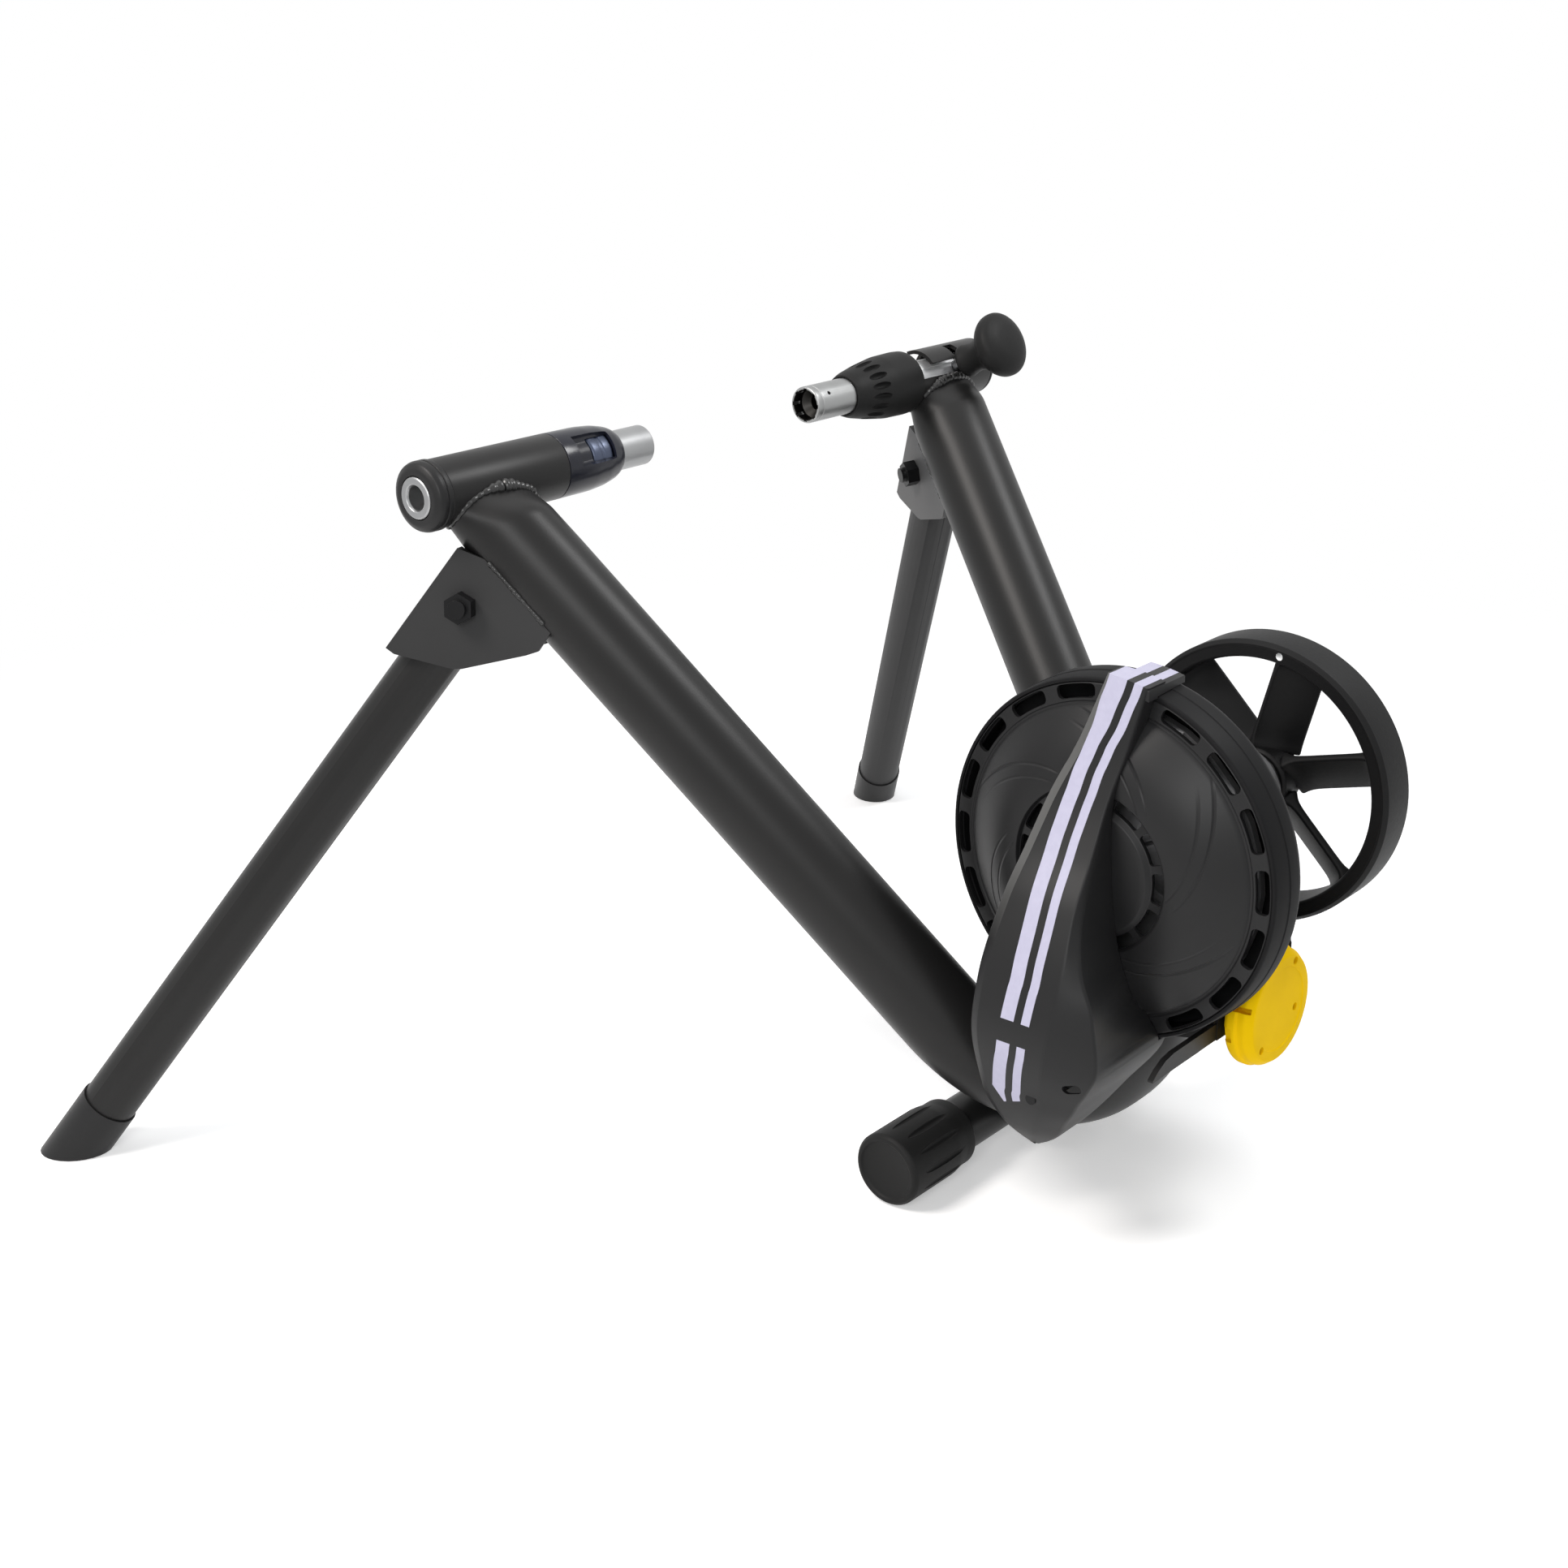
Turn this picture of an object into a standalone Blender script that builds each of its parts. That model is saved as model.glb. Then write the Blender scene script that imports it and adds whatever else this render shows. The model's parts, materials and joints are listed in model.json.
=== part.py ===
"""Wheel-on smart trainer: a folding tube stand that holds a bicycle's rear axle over a driven roller.

World axes: X across the bicycle (the drum is on the -X side), Y forward, Z up.
Sizes are first written about the axle line (y = 0 under the axle), then the empty
"stand" moves everything so that the origin lies under the middle of the whole object.
"""
import math

import bmesh
import bpy
from mathutils import Matrix, Vector

for old in list(bpy.data.objects):
    bpy.data.objects.remove(old, do_unlink=True)

MM = 0.001
GAP = 0.3 * MM                    # between touching pieces

# Main frame: one bent tube, its two ends welded under the head tubes
AXLE_HEIGHT = 397.3 * MM
TUBE_RADIUS = 25.4 * MM
TUBE_WALL = 2.0 * MM
HEAD_CENTRE = 205.1 * MM          # where the tube's axis meets the axle line
FRAME_RAKE = math.radians(41.0)   # the tube's plane leans back from the vertical
FRAME_DROP = 443.9 * MM           # from the axle line to the bend's lowest point, in that plane
BEND_RADIUS = 100.0 * MM
BEND_FLAT = 5.0 * MM              # half the straight run at the bottom
CRIMP_LENGTH = 26.0 * MM          # the ends are pressed oval to meet the thinner head tube

# Head tubes, pins and clamp
HEAD_RADIUS = 18.6 * MM
HEAD_WALL = 2.4 * MM
HEAD_INNER_END = 133.0 * MM
HEAD_OUTER_END = 232.6 * MM
PIN_RADIUS = 11.5 * MM
PIN_GAP = 147.2 * MM              # between the two pin tips: a 135 mm hub and its dropouts
NOSE_TIP = 100.0 * MM
COLLAR_TIP = 111.0 * MM
COLLAR_END = 171.0 * MM
COLLAR_RADIUS = 20.2 * MM
RIGHT_HEAD_END = 246.0 * MM
HANDLE_X = 216.0 * MM
HANDLE_UP = math.radians(26.0)    # the handle leans back, this far above the horizontal
CLAMP_TRAVEL = 40.0 * MM
PIN_REACH = 8.0 * MM               # how far the collar screws the pin inward
HANDLE_SWING = math.radians(42.0)
HANDLE_NECK = 9.6 * MM
SLOT_WIDTH = 9.0 * MM

# Legs and their brackets
LEG_RADIUS = 15.875 * MM
LEG_WALL = 1.6 * MM
LEG_TOP = Vector((222.9, 7.8, 313.5)) * MM
LEG_FOOT = Vector((381.1, 190.5, 0.0)) * MM
HINGE_ABOVE_TOP = 27.0 * MM
HINGE_BOLT_RADIUS = 5.0 * MM
CHEEK_INNER = 17.3 * MM
CHEEK_OUTER = 20.3 * MM
FOOT_RADIUS = 17.0 * MM
FOOT_LENGTH = 38.0 * MM

# Cross tube and its end caps
CROSS_RADIUS = 15.875 * MM
CROSS_WALL = 1.6 * MM
CROSS_Y = -222.4 * MM
CAP_RADIUS = 21.75 * MM
CAP_FACE = 124.5 * MM
CAP_LENGTH = 59.0 * MM

# Resistance unit: hung on a pivot low on the frame, hub behind the wheel
PIVOT = Vector((0.0, -245.0, 75.0)) * MM
ANCHOR = Vector((0.0, -265.0, 129.4)) * MM
HUB = Vector((0.0, -320.5, 216.4)) * MM
PLATE_INNER = 25.0 * MM           # frame bracket: half the space between its two plates
PLATE_THICK = 4.0 * MM
EAR_INNER = 31.0 * MM             # yoke ears run outside the bracket plates
EAR_THICK = 5.0 * MM
RIGHT_CHEEK = 73.5 * MM
PIVOT_BOLT_RADIUS = 5.0 * MM
ANCHOR_PIN_RADIUS = 4.0 * MM
TAIL_Y = -371.0 * MM
TAIL_THICK = 4.0 * MM
TAIL_LOW = 117.0 * MM
TAIL_HIGH = 150.0 * MM
TAIL_LEFT = 76.0 * MM
TAIL_RIGHT = 43.0 * MM

# Rotor
SHAFT_RADIUS = 6.0 * MM
BEARING_RADIUS = 16.0 * MM
BEARING_WIDTH = 10.0 * MM
ROLLER_RADIUS = 28.6 * MM
ROLLER_LEFT = -24.0 * MM
ROLLER_RIGHT = 71.5 * MM
FLY_RADIUS = 84.0 * MM
FLY_NEAR = 86.0 * MM
FLY_FAR = 115.0 * MM
FLY_RIM = 8.5 * MM
FLY_HUB_RADIUS = 20.0 * MM
BLADE_COUNT = 6
BLADE_WIDTH = 30.0 * MM
BLADE_THICK = 4.6 * MM
BLADE_PITCH = math.radians(47.7)
BLADE_PHASE = math.radians(104.6)
BLADE_MIDDLE = 103.5 * MM

# Drum
DRUM_NEAR = -63.0 * MM
DRUM_FAR = -39.0 * MM
DRUM_RADIUS_NEAR = 99.0 * MM
DRUM_RADIUS_FAR = 100.4 * MM
DRUM_WALL = 2.0 * MM
DRUM_BACK = 2.4 * MM
COVER_SHEET = 2.4 * MM
DOME_RISE = 16.5 * MM
VENT_COUNT = 18
HUB_VENT_COUNT = 12
VENT_STEPS = 72
VENT_PHASE = math.radians(103.3)

# Clutch knob and tension bolt
KNOB_RADIUS = 33.0 * MM
KNOB_THICK = 18.0 * MM
KNOB_GAP = 1.2 * MM
KNOB_HOLES = ((62.0, 27.0 * MM), (-136.0, 26.0 * MM), (-17.0, 17.0 * MM))
KNOB_HOLE_RADIUS = 1.8 * MM
KNOB_SLOTS = (164.0, -15.0)
BOLT_RADIUS = 4.0 * MM

# Cover arm
ARM_WALL = 2.6 * MM


def half_extent_across(axis, radius, along):
    """Half size, along one axis, of the slanted ellipse that a leg's end makes on the floor."""
    return radius * math.sqrt(1.0 + (axis[along] / axis[2]) ** 2)


LEG_AXIS = (LEG_FOOT - LEG_TOP).normalized()
FRONT_EDGE = LEG_FOOT.y + half_extent_across(LEG_AXIS, FOOT_RADIUS, 1)
REAR_EDGE = HUB.y - DRUM_RADIUS_FAR
MIDDLE_Y = (FRONT_EDGE + REAR_EDGE) / 2.0

# Collections, materials and small helpers

parts = bpy.data.collections.new("wheel_on_trainer")
guides = bpy.data.collections.new("cutters")
bpy.context.scene.collection.children.link(parts)
bpy.context.scene.collection.children.link(guides)


def make_material(name, colour, roughness, metallic):
    mat = bpy.data.materials.new(name)
    mat.use_nodes = True
    shader = mat.node_tree.nodes["Principled BSDF"]
    shader.inputs["Base Color"].default_value = (*colour, 1.0)
    shader.inputs["Roughness"].default_value = roughness
    shader.inputs["Metallic"].default_value = metallic
    return mat


BLACK_PAINT = ("black_paint", (0.022, 0.022, 0.024), 0.42, 0.0)
GREY_PAINT = ("grey_paint", (0.07, 0.07, 0.072), 0.5, 0.0)
BLACK_PLASTIC = ("black_plastic", (0.02, 0.02, 0.022), 0.5, 0.0)
ZINC = ("zinc", (0.62, 0.63, 0.66), 0.3, 1.0)
STEEL = ("steel", (0.56, 0.56, 0.58), 0.3, 1.0)
ALUMINIUM = ("aluminium", (0.77, 0.77, 0.79), 0.28, 1.0)
BLACK_STEEL = ("black_steel", (0.03, 0.03, 0.032), 0.38, 0.6)
CAST_IRON = ("cast_iron", (0.03, 0.03, 0.032), 0.45, 0.5)
YELLOW = ("yellow_plastic", (0.9, 0.52, 0.01), 0.4, 0.0)
COPPER = ("copper", (0.72, 0.36, 0.2), 0.35, 1.0)
BOARD = ("board", (0.02, 0.16, 0.07), 0.5, 0.0)
BRONZE = ("bronze", (0.55, 0.38, 0.18), 0.4, 1.0)


def empty(name, place, parent=None):
    """An unturned empty at a place given about the axle line."""
    obj = bpy.data.objects.new(name, None)
    parts.objects.link(obj)
    obj["place"] = tuple(place)
    if parent is None:
        obj.location = place
    else:
        obj.parent = parent
        obj.location = Vector(place) - Vector(parent["place"])
    return obj


stand = bpy.data.objects.new("stand", None)
parts.objects.link(stand)
stand["place"] = (0.0, 0.0, 0.0)
stand.location = (0.0, -MIDDLE_Y, 0.0)

unit_pivot = empty("unit_pivot", PIVOT, stand)
rotor_axis = empty("rotor_axis", HUB, unit_pivot)
knob_axis = empty("knob_axis", Vector((0.0, TAIL_Y, ANCHOR.z)), unit_pivot)
bolt_anchor = empty("bolt_anchor", ANCHOR, stand)
left_axle = empty("left_axle", Vector((-HEAD_CENTRE, 0.0, AXLE_HEIGHT)), stand)
right_axle = empty("right_axle", Vector((HEAD_CENTRE, 0.0, AXLE_HEIGHT)), stand)


def keep(obj, kind, parent):
    """Give an object its own material and hang it on its parent; its mesh is about the axle line."""
    obj.data.materials.clear()
    obj.data.materials.append(make_material(f"{obj.name}_{kind[0]}", *kind[1:]))
    obj.parent = parent
    obj.location = obj.location - Vector(parent["place"])
    return obj


def as_guide(obj):
    for owner in list(obj.users_collection):
        owner.objects.unlink(obj)
    guides.objects.link(obj)
    obj.hide_render = True
    obj.display_type = "WIRE"
    if obj.parent is None:
        obj.parent = stand
    return obj


def new_object(name, mesh):
    obj = bpy.data.objects.new(name, mesh)
    parts.objects.link(obj)
    return obj


def from_bmesh(name, bm, sharp=40.0):
    bmesh.ops.recalc_face_normals(bm, faces=bm.faces)
    mesh = bpy.data.meshes.new(name)
    bm.to_mesh(mesh)
    bm.free()
    mesh.shade_smooth()
    mesh.set_sharp_from_angle(angle=math.radians(sharp))
    return new_object(name, mesh)


def combine(obj, other, operation):
    """Boolean with another object, which becomes a hidden guide."""
    as_guide(other)
    mod = obj.modifiers.new(operation.lower(), "BOOLEAN")
    mod.operation = operation
    mod.object = other
    mod.solver = "EXACT"
    return obj


def cut(obj, *others):
    for other in others:
        combine(obj, other, "DIFFERENCE")
    return obj


def join(obj, *others):
    for other in others:
        combine(obj, other, "UNION")
    return obj


def soften(obj, width, segments=2, angle=35.0):
    mod = obj.modifiers.new("soften", "BEVEL")
    mod.width = width
    mod.segments = segments
    mod.limit_method = "ANGLE"
    mod.angle_limit = math.radians(angle)
    return obj


def box(name, low, high):
    bm = bmesh.new()
    bmesh.ops.create_cube(bm, size=1.0)
    low, high = Vector(low), Vector(high)
    bmesh.ops.scale(bm, vec=high - low, verts=bm.verts)
    bmesh.ops.translate(bm, vec=(low + high) / 2.0, verts=bm.verts)
    return from_bmesh(name, bm)


def frame_of(direction):
    """A rotation whose Z axis points along a direction."""
    return Vector(direction).to_track_quat("Z", "Y").to_matrix().to_4x4()


def rod(name, start, end, radius, sides=32, radius_end=None):
    """A cylinder or cone between two points."""
    start, end = Vector(start), Vector(end)
    bm = bmesh.new()
    bmesh.ops.create_cone(bm, cap_ends=True, segments=sides, radius1=radius,
                          radius2=radius if radius_end is None else radius_end,
                          depth=(end - start).length)
    turn = frame_of(end - start)
    bmesh.ops.transform(bm, matrix=Matrix.Translation((start + end) / 2.0) @ turn, verts=bm.verts)
    return from_bmesh(name, bm)


def x_rod(name, x0, x1, centre, radius, sides=32):
    """A cylinder along X between two x values, about a centre line."""
    return rod(name, (x0, centre[1], centre[2]), (x1, centre[1], centre[2]), radius, sides)


def signed_area(outline):
    total = 0.0
    for (x0, y0), (x1, y1) in zip(outline, outline[1:] + outline[:1]):
        total += x0 * y1 - x1 * y0
    return total / 2.0


def turned(name, outline, centre, steps=48, towards=(1.0, 0.0, 0.0)):
    """Turn an outline of (radius, distance along the axis) about a line through the centre.

    An outline that starts and ends on the axis stays open there; any other is closed.
    """
    if signed_area(outline) > 0.0:
        outline = outline[::-1]
    bm = bmesh.new()
    verts = [bm.verts.new((r, 0.0, h)) for r, h in outline]
    for a, b in zip(verts, verts[1:]):
        bm.edges.new((a, b))
    if outline[0][0] > 0.0 or outline[-1][0] > 0.0:
        bm.edges.new((verts[-1], verts[0]))
    mesh = bpy.data.meshes.new(name)
    bm.to_mesh(mesh)
    bm.free()
    obj = new_object(name, mesh)
    mod = obj.modifiers.new("turn", "SCREW")
    mod.steps = steps
    mod.render_steps = steps
    mod.use_merge_vertices = True
    mod.merge_threshold = 0.00001
    mod.use_smooth_shade = True
    place = Matrix.Translation(Vector(centre)) @ frame_of(towards)
    obj.matrix_basis = place
    return obj


def plate(name, outline, holes, thickness, matrix):
    """A flat outline with round holes, extruded equally both ways, then placed by a matrix."""
    curve = bpy.data.curves.new(name, "CURVE")
    curve.dimensions = "2D"
    curve.fill_mode = "BOTH"
    curve.extrude = thickness / 2.0
    loops = [outline]
    for (cx, cy), radius in holes:
        loops.append([(cx + radius * math.cos(2 * math.pi * k / 20),
                       cy + radius * math.sin(2 * math.pi * k / 20))
                      for k in range(20)])
    for loop in loops:
        spline = curve.splines.new("POLY")
        spline.points.add(len(loop) - 1)
        for point, (x, y) in zip(spline.points, loop):
            point.co = (x, y, 0.0, 1.0)
        spline.use_cyclic_u = True
    carrier = bpy.data.objects.new(name, curve)
    parts.objects.link(carrier)
    obj = mesh_of(carrier, name)
    obj.data.transform(matrix)
    return obj


def mesh_of(carrier, name):
    """Replace a curve object by a closed mesh object."""
    carrier.name = f"{name}_curve"
    evaluated = carrier.evaluated_get(bpy.context.evaluated_depsgraph_get())
    mesh = bpy.data.meshes.new_from_object(evaluated)
    bm = bmesh.new()
    bm.from_mesh(mesh)
    bmesh.ops.remove_doubles(bm, verts=bm.verts, dist=0.00001)
    bmesh.ops.recalc_face_normals(bm, faces=bm.faces)
    bm.to_mesh(mesh)
    bm.free()
    obj = new_object(name, mesh)
    obj.matrix_world = carrier.matrix_world
    bpy.data.objects.remove(carrier, do_unlink=True)
    mesh.shade_smooth()
    mesh.set_sharp_from_angle(angle=math.radians(40.0))
    return obj


def tube_along(name, points, radius, sides):
    """A solid round bar along points; a wall is made by cutting a thinner one out."""
    curve = bpy.data.curves.new(name, "CURVE")
    curve.dimensions = "3D"
    curve.bevel_depth = radius
    curve.bevel_resolution = (sides - 4) // 2
    curve.use_fill_caps = True
    spline = curve.splines.new("POLY")
    spline.points.add(len(points) - 1)
    for point, place in zip(spline.points, points):
        point.co = (*place, 1.0)
    carrier = bpy.data.objects.new(name, curve)
    parts.objects.link(carrier)
    return mesh_of(carrier, name)


def arc(centre, radius, start, end, count):
    """Points on an arc in the plane, angles in degrees."""
    out = []
    for k in range(count + 1):
        a = math.radians(start + (end - start) * k / count)
        out.append((centre[0] + radius * math.cos(a), centre[1] + radius * math.sin(a)))
    return out


def hull(circles, count=18):
    """Outline round a set of circles (centre, radius), as a belt would lie."""
    points = []
    for (cx, cy), radius in circles:
        points += [(cx + radius * math.cos(2 * math.pi * k / count),
                    cy + radius * math.sin(2 * math.pi * k / count))
                   for k in range(count)]
    points = sorted(set(points))

    def half(sequence):
        chain = []
        for p in sequence:
            while len(chain) > 1:
                (ax, ay), (bx, by) = chain[-2], chain[-1]
                if (bx - ax) * (p[1] - ay) - (by - ay) * (p[0] - ax) > 1e-12:
                    break
                chain.pop()
            chain.append(p)
        return chain[:-1]

    return half(points) + half(points[::-1])


def yz_plane(x):
    """Places an outline drawn as (y, z) in the plane x = const."""
    return Matrix(((0, 0, 1, x), (1, 0, 0, 0), (0, 1, 0, 0), (0, 0, 0, 1)))


# Main tube

DOWN = Vector((0.0, -math.sin(FRAME_RAKE), -math.cos(FRAME_RAKE)))
OUT_OF_PLANE = Vector((0.0, -math.cos(FRAME_RAKE), math.sin(FRAME_RAKE)))
BEND_CENTRE_DROP = FRAME_DROP - BEND_RADIUS
LEAN = (math.atan2(HEAD_CENTRE - BEND_FLAT, BEND_CENTRE_DROP)
        - math.asin(BEND_RADIUS / math.hypot(HEAD_CENTRE - BEND_FLAT, BEND_CENTRE_DROP)))
AXLE_POINT = Vector((0.0, 0.0, AXLE_HEIGHT))


def in_plane(x, drop):
    """A point of the frame's plane from its x and its distance below the axle line."""
    return AXLE_POINT + Vector((x, 0.0, 0.0)) + DOWN * drop


def frame_path(top_drop):
    """Axis of the bent tube from the right head to the left one."""
    side = []
    for drop in (top_drop, 9 * MM, 18 * MM, 27 * MM):
        side.append((HEAD_CENTRE - drop * math.tan(LEAN), drop))
    for k in range(8):
        a = (math.pi / 2 - LEAN) * (1.0 - k / 7.0)
        side.append((BEND_FLAT + BEND_RADIUS * math.sin(a), BEND_CENTRE_DROP + BEND_RADIUS * math.cos(a)))
    path = side + [(-x, drop) for x, drop in reversed(side)]
    return [in_plane(x, drop) for x, drop in path]


def crimp(obj):
    """Press the upper ends oval, so that they close on the thinner head tube."""
    narrow = (HEAD_RADIUS + 1.2 * MM) / TUBE_RADIUS
    for vert in obj.data.vertices:
        offset = vert.co - AXLE_POINT
        drop = offset.dot(DOWN)
        if drop < CRIMP_LENGTH:
            t = max(0.0, drop / CRIMP_LENGTH)
            smooth = t * t * (3.0 - 2.0 * t)
            factor = narrow + (1.0 - narrow) * smooth
            vert.co += OUT_OF_PLANE * (offset.dot(OUT_OF_PLANE) * (factor - 1.0))
            side = math.copysign(1.0, offset.x)
            middle = side * (HEAD_CENTRE - drop * math.tan(LEAN))
            vert.co.x += (offset.x - middle) * (1.0 - factor) * 0.25
    bm = bmesh.new()
    bm.from_mesh(obj.data)
    bent = [f for f in bm.faces if (f.calc_center_median() - AXLE_POINT).dot(DOWN) < CRIMP_LENGTH + 1 * MM]
    bmesh.ops.triangulate(bm, faces=bent)
    bm.to_mesh(obj.data)
    bm.free()
    return obj


def make_frame_tube():
    tube = crimp(tube_along("frame_tube", frame_path(3 * MM), TUBE_RADIUS, 24))
    bore = crimp(tube_along("frame_bore", frame_path(-12 * MM), TUBE_RADIUS - TUBE_WALL, 12))
    saddle = x_rod("head_saddles", -HEAD_CENTRE - 60 * MM, HEAD_CENTRE + 60 * MM, AXLE_POINT,
                   HEAD_RADIUS + GAP, 36)
    reach = HANDLE_NECK + 1.4 * MM
    sweep = box("handle_room", (HANDLE_X - CLAMP_TRAVEL - reach, -60 * MM, -reach),
                (HANDLE_X + reach, 0.0, reach))
    sweep.data.transform(Matrix.Translation(AXLE_POINT) @ Matrix.Rotation(-HANDLE_UP, 4, "X"))
    cut(tube, bore, saddle, sweep)
    return keep(tube, BLACK_PAINT, stand)


make_frame_tube()

# Cross tube and caps


def make_cross_tube():
    height = CAP_RADIUS
    half = CAP_FACE - 6 * MM
    wall = [(CROSS_RADIUS, -half), (CROSS_RADIUS, half), (CROSS_RADIUS - CROSS_WALL, half),
            (CROSS_RADIUS - CROSS_WALL, -half)]
    tube = turned("cross_tube", wall, (0.0, CROSS_Y, height), 32)
    return keep(tube, BLACK_PAINT, stand)


make_cross_tube()


def make_cross_cap(name, side):
    """Moulded cap: raised rim round a flat face, lengthwise grooves, a lip at the inner end."""
    face = CAP_LENGTH
    bore = CROSS_RADIUS + GAP
    outline = [(0.0, face - 1.6 * MM), (17.2 * MM, face - 1.6 * MM), (17.8 * MM, face), (20.2 * MM, face),
               (CAP_RADIUS, face - 2.4 * MM), (CAP_RADIUS, 16 * MM), (20.4 * MM, 8 * MM),
               (20.4 * MM, 1.5 * MM),
               (19.4 * MM, 0.0), (bore, 0.0), (bore, face - 6 * MM + GAP), (0.0, face - 6 * MM + GAP)]
    cap = turned(name, outline, (side * (CAP_FACE - CAP_LENGTH), CROSS_Y, CAP_RADIUS), 20, (side, 0, 0))
    bm = bmesh.new()
    for k in range(10):
        a = math.radians(36.0 * k + 15.0)
        ring = bmesh.ops.create_cube(bm, size=1.0)["verts"]
        bmesh.ops.scale(bm, vec=(30 * MM, 2.0 * MM, 4.0 * MM), verts=ring)
        bmesh.ops.translate(bm, vec=(0.0, 0.0, CAP_RADIUS + 1.0 * MM), verts=ring)
        bmesh.ops.rotate(bm, cent=(0, 0, 0), matrix=Matrix.Rotation(a, 3, "X"), verts=ring)
    middle = side * (CAP_FACE - 26 * MM)
    bmesh.ops.translate(bm, vec=(middle, CROSS_Y, CAP_RADIUS), verts=bm.verts)
    cut(cap, from_bmesh(f"{name}_grooves", bm))
    return keep(cap, BLACK_PLASTIC, stand)


make_cross_cap("cross_cap_left", -1)
make_cross_cap("cross_cap_right", 1)

# Left head: tube, end cap, nose, lock nut and pin


def make_left_head():
    centre = AXLE_POINT
    inner = HEAD_RADIUS - HEAD_WALL
    tube = turned("left_head_tube", [(HEAD_RADIUS, -HEAD_OUTER_END), (HEAD_RADIUS, -HEAD_INNER_END),
                                     (inner, -HEAD_INNER_END), (inner, -HEAD_OUTER_END)], centre, 36)
    keep(tube, BLACK_PAINT, left_axle)

    bore = PIN_RADIUS + 0.4 * MM
    end = -HEAD_OUTER_END - GAP
    cap = turned("left_end_cap", [(bore, end - 10.4 * MM), (15.4 * MM, end - 10.4 * MM),
                                  (18.4 * MM, end - 8.6 * MM),
                                  (19.2 * MM, end - 6 * MM), (19.2 * MM, end), (inner - GAP, end),
                                  (inner - GAP, end + 12 * MM), (bore, end + 12 * MM)], centre, 28)
    keep(cap, BLACK_PLASTIC, left_axle)

    root = -HEAD_INNER_END + GAP
    nose = turned("left_nose", [(bore, -NOSE_TIP), (13.4 * MM, -NOSE_TIP), (15.4 * MM, -NOSE_TIP - 4 * MM),
                                (17.4 * MM, -NOSE_TIP - 13 * MM), (18.4 * MM, -NOSE_TIP - 24 * MM),
                                (HEAD_RADIUS, root), (inner - GAP, root), (inner - GAP, root - 10 * MM),
                                (bore, root - 10 * MM)], centre, 24)
    pocket = x_rod("nut_pocket", -126 * MM, -109 * MM, centre, 15.0 * MM, 36)
    window = box("nut_window", (-124 * MM, -26 * MM, AXLE_HEIGHT + 2 * MM),
                 (-110 * MM, 2 * MM, AXLE_HEIGHT + 26 * MM))
    cut(nose, pocket, window)
    keep(nose, BLACK_PLASTIC, left_axle)

    nut = turned("left_lock_nut", [(bore, -125 * MM), (13.8 * MM, -125 * MM), (14.6 * MM, -124 * MM),
                                   (14.6 * MM, -111 * MM), (13.8 * MM, -110 * MM), (bore, -110 * MM)],
                                   centre, 24)
    keep(nut, ZINC, left_axle)

    tip, outer = -PIN_GAP / 2.0, -HEAD_OUTER_END - 11.4 * MM
    pin = turned("left_pin", [(8.6 * MM, tip), (PIN_RADIUS - 0.8 * MM, tip), (PIN_RADIUS, tip - 0.8 * MM),
                              (PIN_RADIUS, outer + 0.8 * MM), (PIN_RADIUS - 0.8 * MM, outer),
                              (6.6 * MM, outer),
                              (6.6 * MM, outer + 16 * MM), (5.2 * MM, outer + 18 * MM),
                              (5.2 * MM, tip - 11 * MM),
                              (8.6 * MM, tip - 9 * MM)], centre, 24)
    keep(pin, ZINC, left_axle)


make_left_head()

# Right head: slotted tube, collar, pin, bolt and handle

HANDLE_DIRECTION = Vector((0.0, -math.cos(HANDLE_UP), math.sin(HANDLE_UP)))


def notch(name, x, start, end):
    """Cutter for a slot across the tube's top, between two angles above the rear horizontal."""
    steps = max(3, int(abs(end - start) / math.radians(12)))
    rims = []
    for k in range(steps + 1):
        a = start + (end - start) * k / steps
        rims.append(Vector((0.0, -math.cos(a), math.sin(a))))
    bm = bmesh.new()
    rings = []
    for way in rims:
        ring = []
        for dx, r in ((-0.5, 12.6 * MM), (0.5, 12.6 * MM), (0.5, 26 * MM), (-0.5, 26 * MM)):
            ring.append(bm.verts.new(AXLE_POINT + Vector((x + dx * SLOT_WIDTH, 0.0, 0.0)) + way * r))
        rings.append(ring)
    for first, second in zip(rings, rings[1:]):
        for k in range(4):
            bm.faces.new((first[k], first[(k + 1) % 4], second[(k + 1) % 4], second[k]))
    bm.faces.new(rings[0])
    bm.faces.new(rings[-1][::-1])
    return from_bmesh(name, bm)


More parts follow.
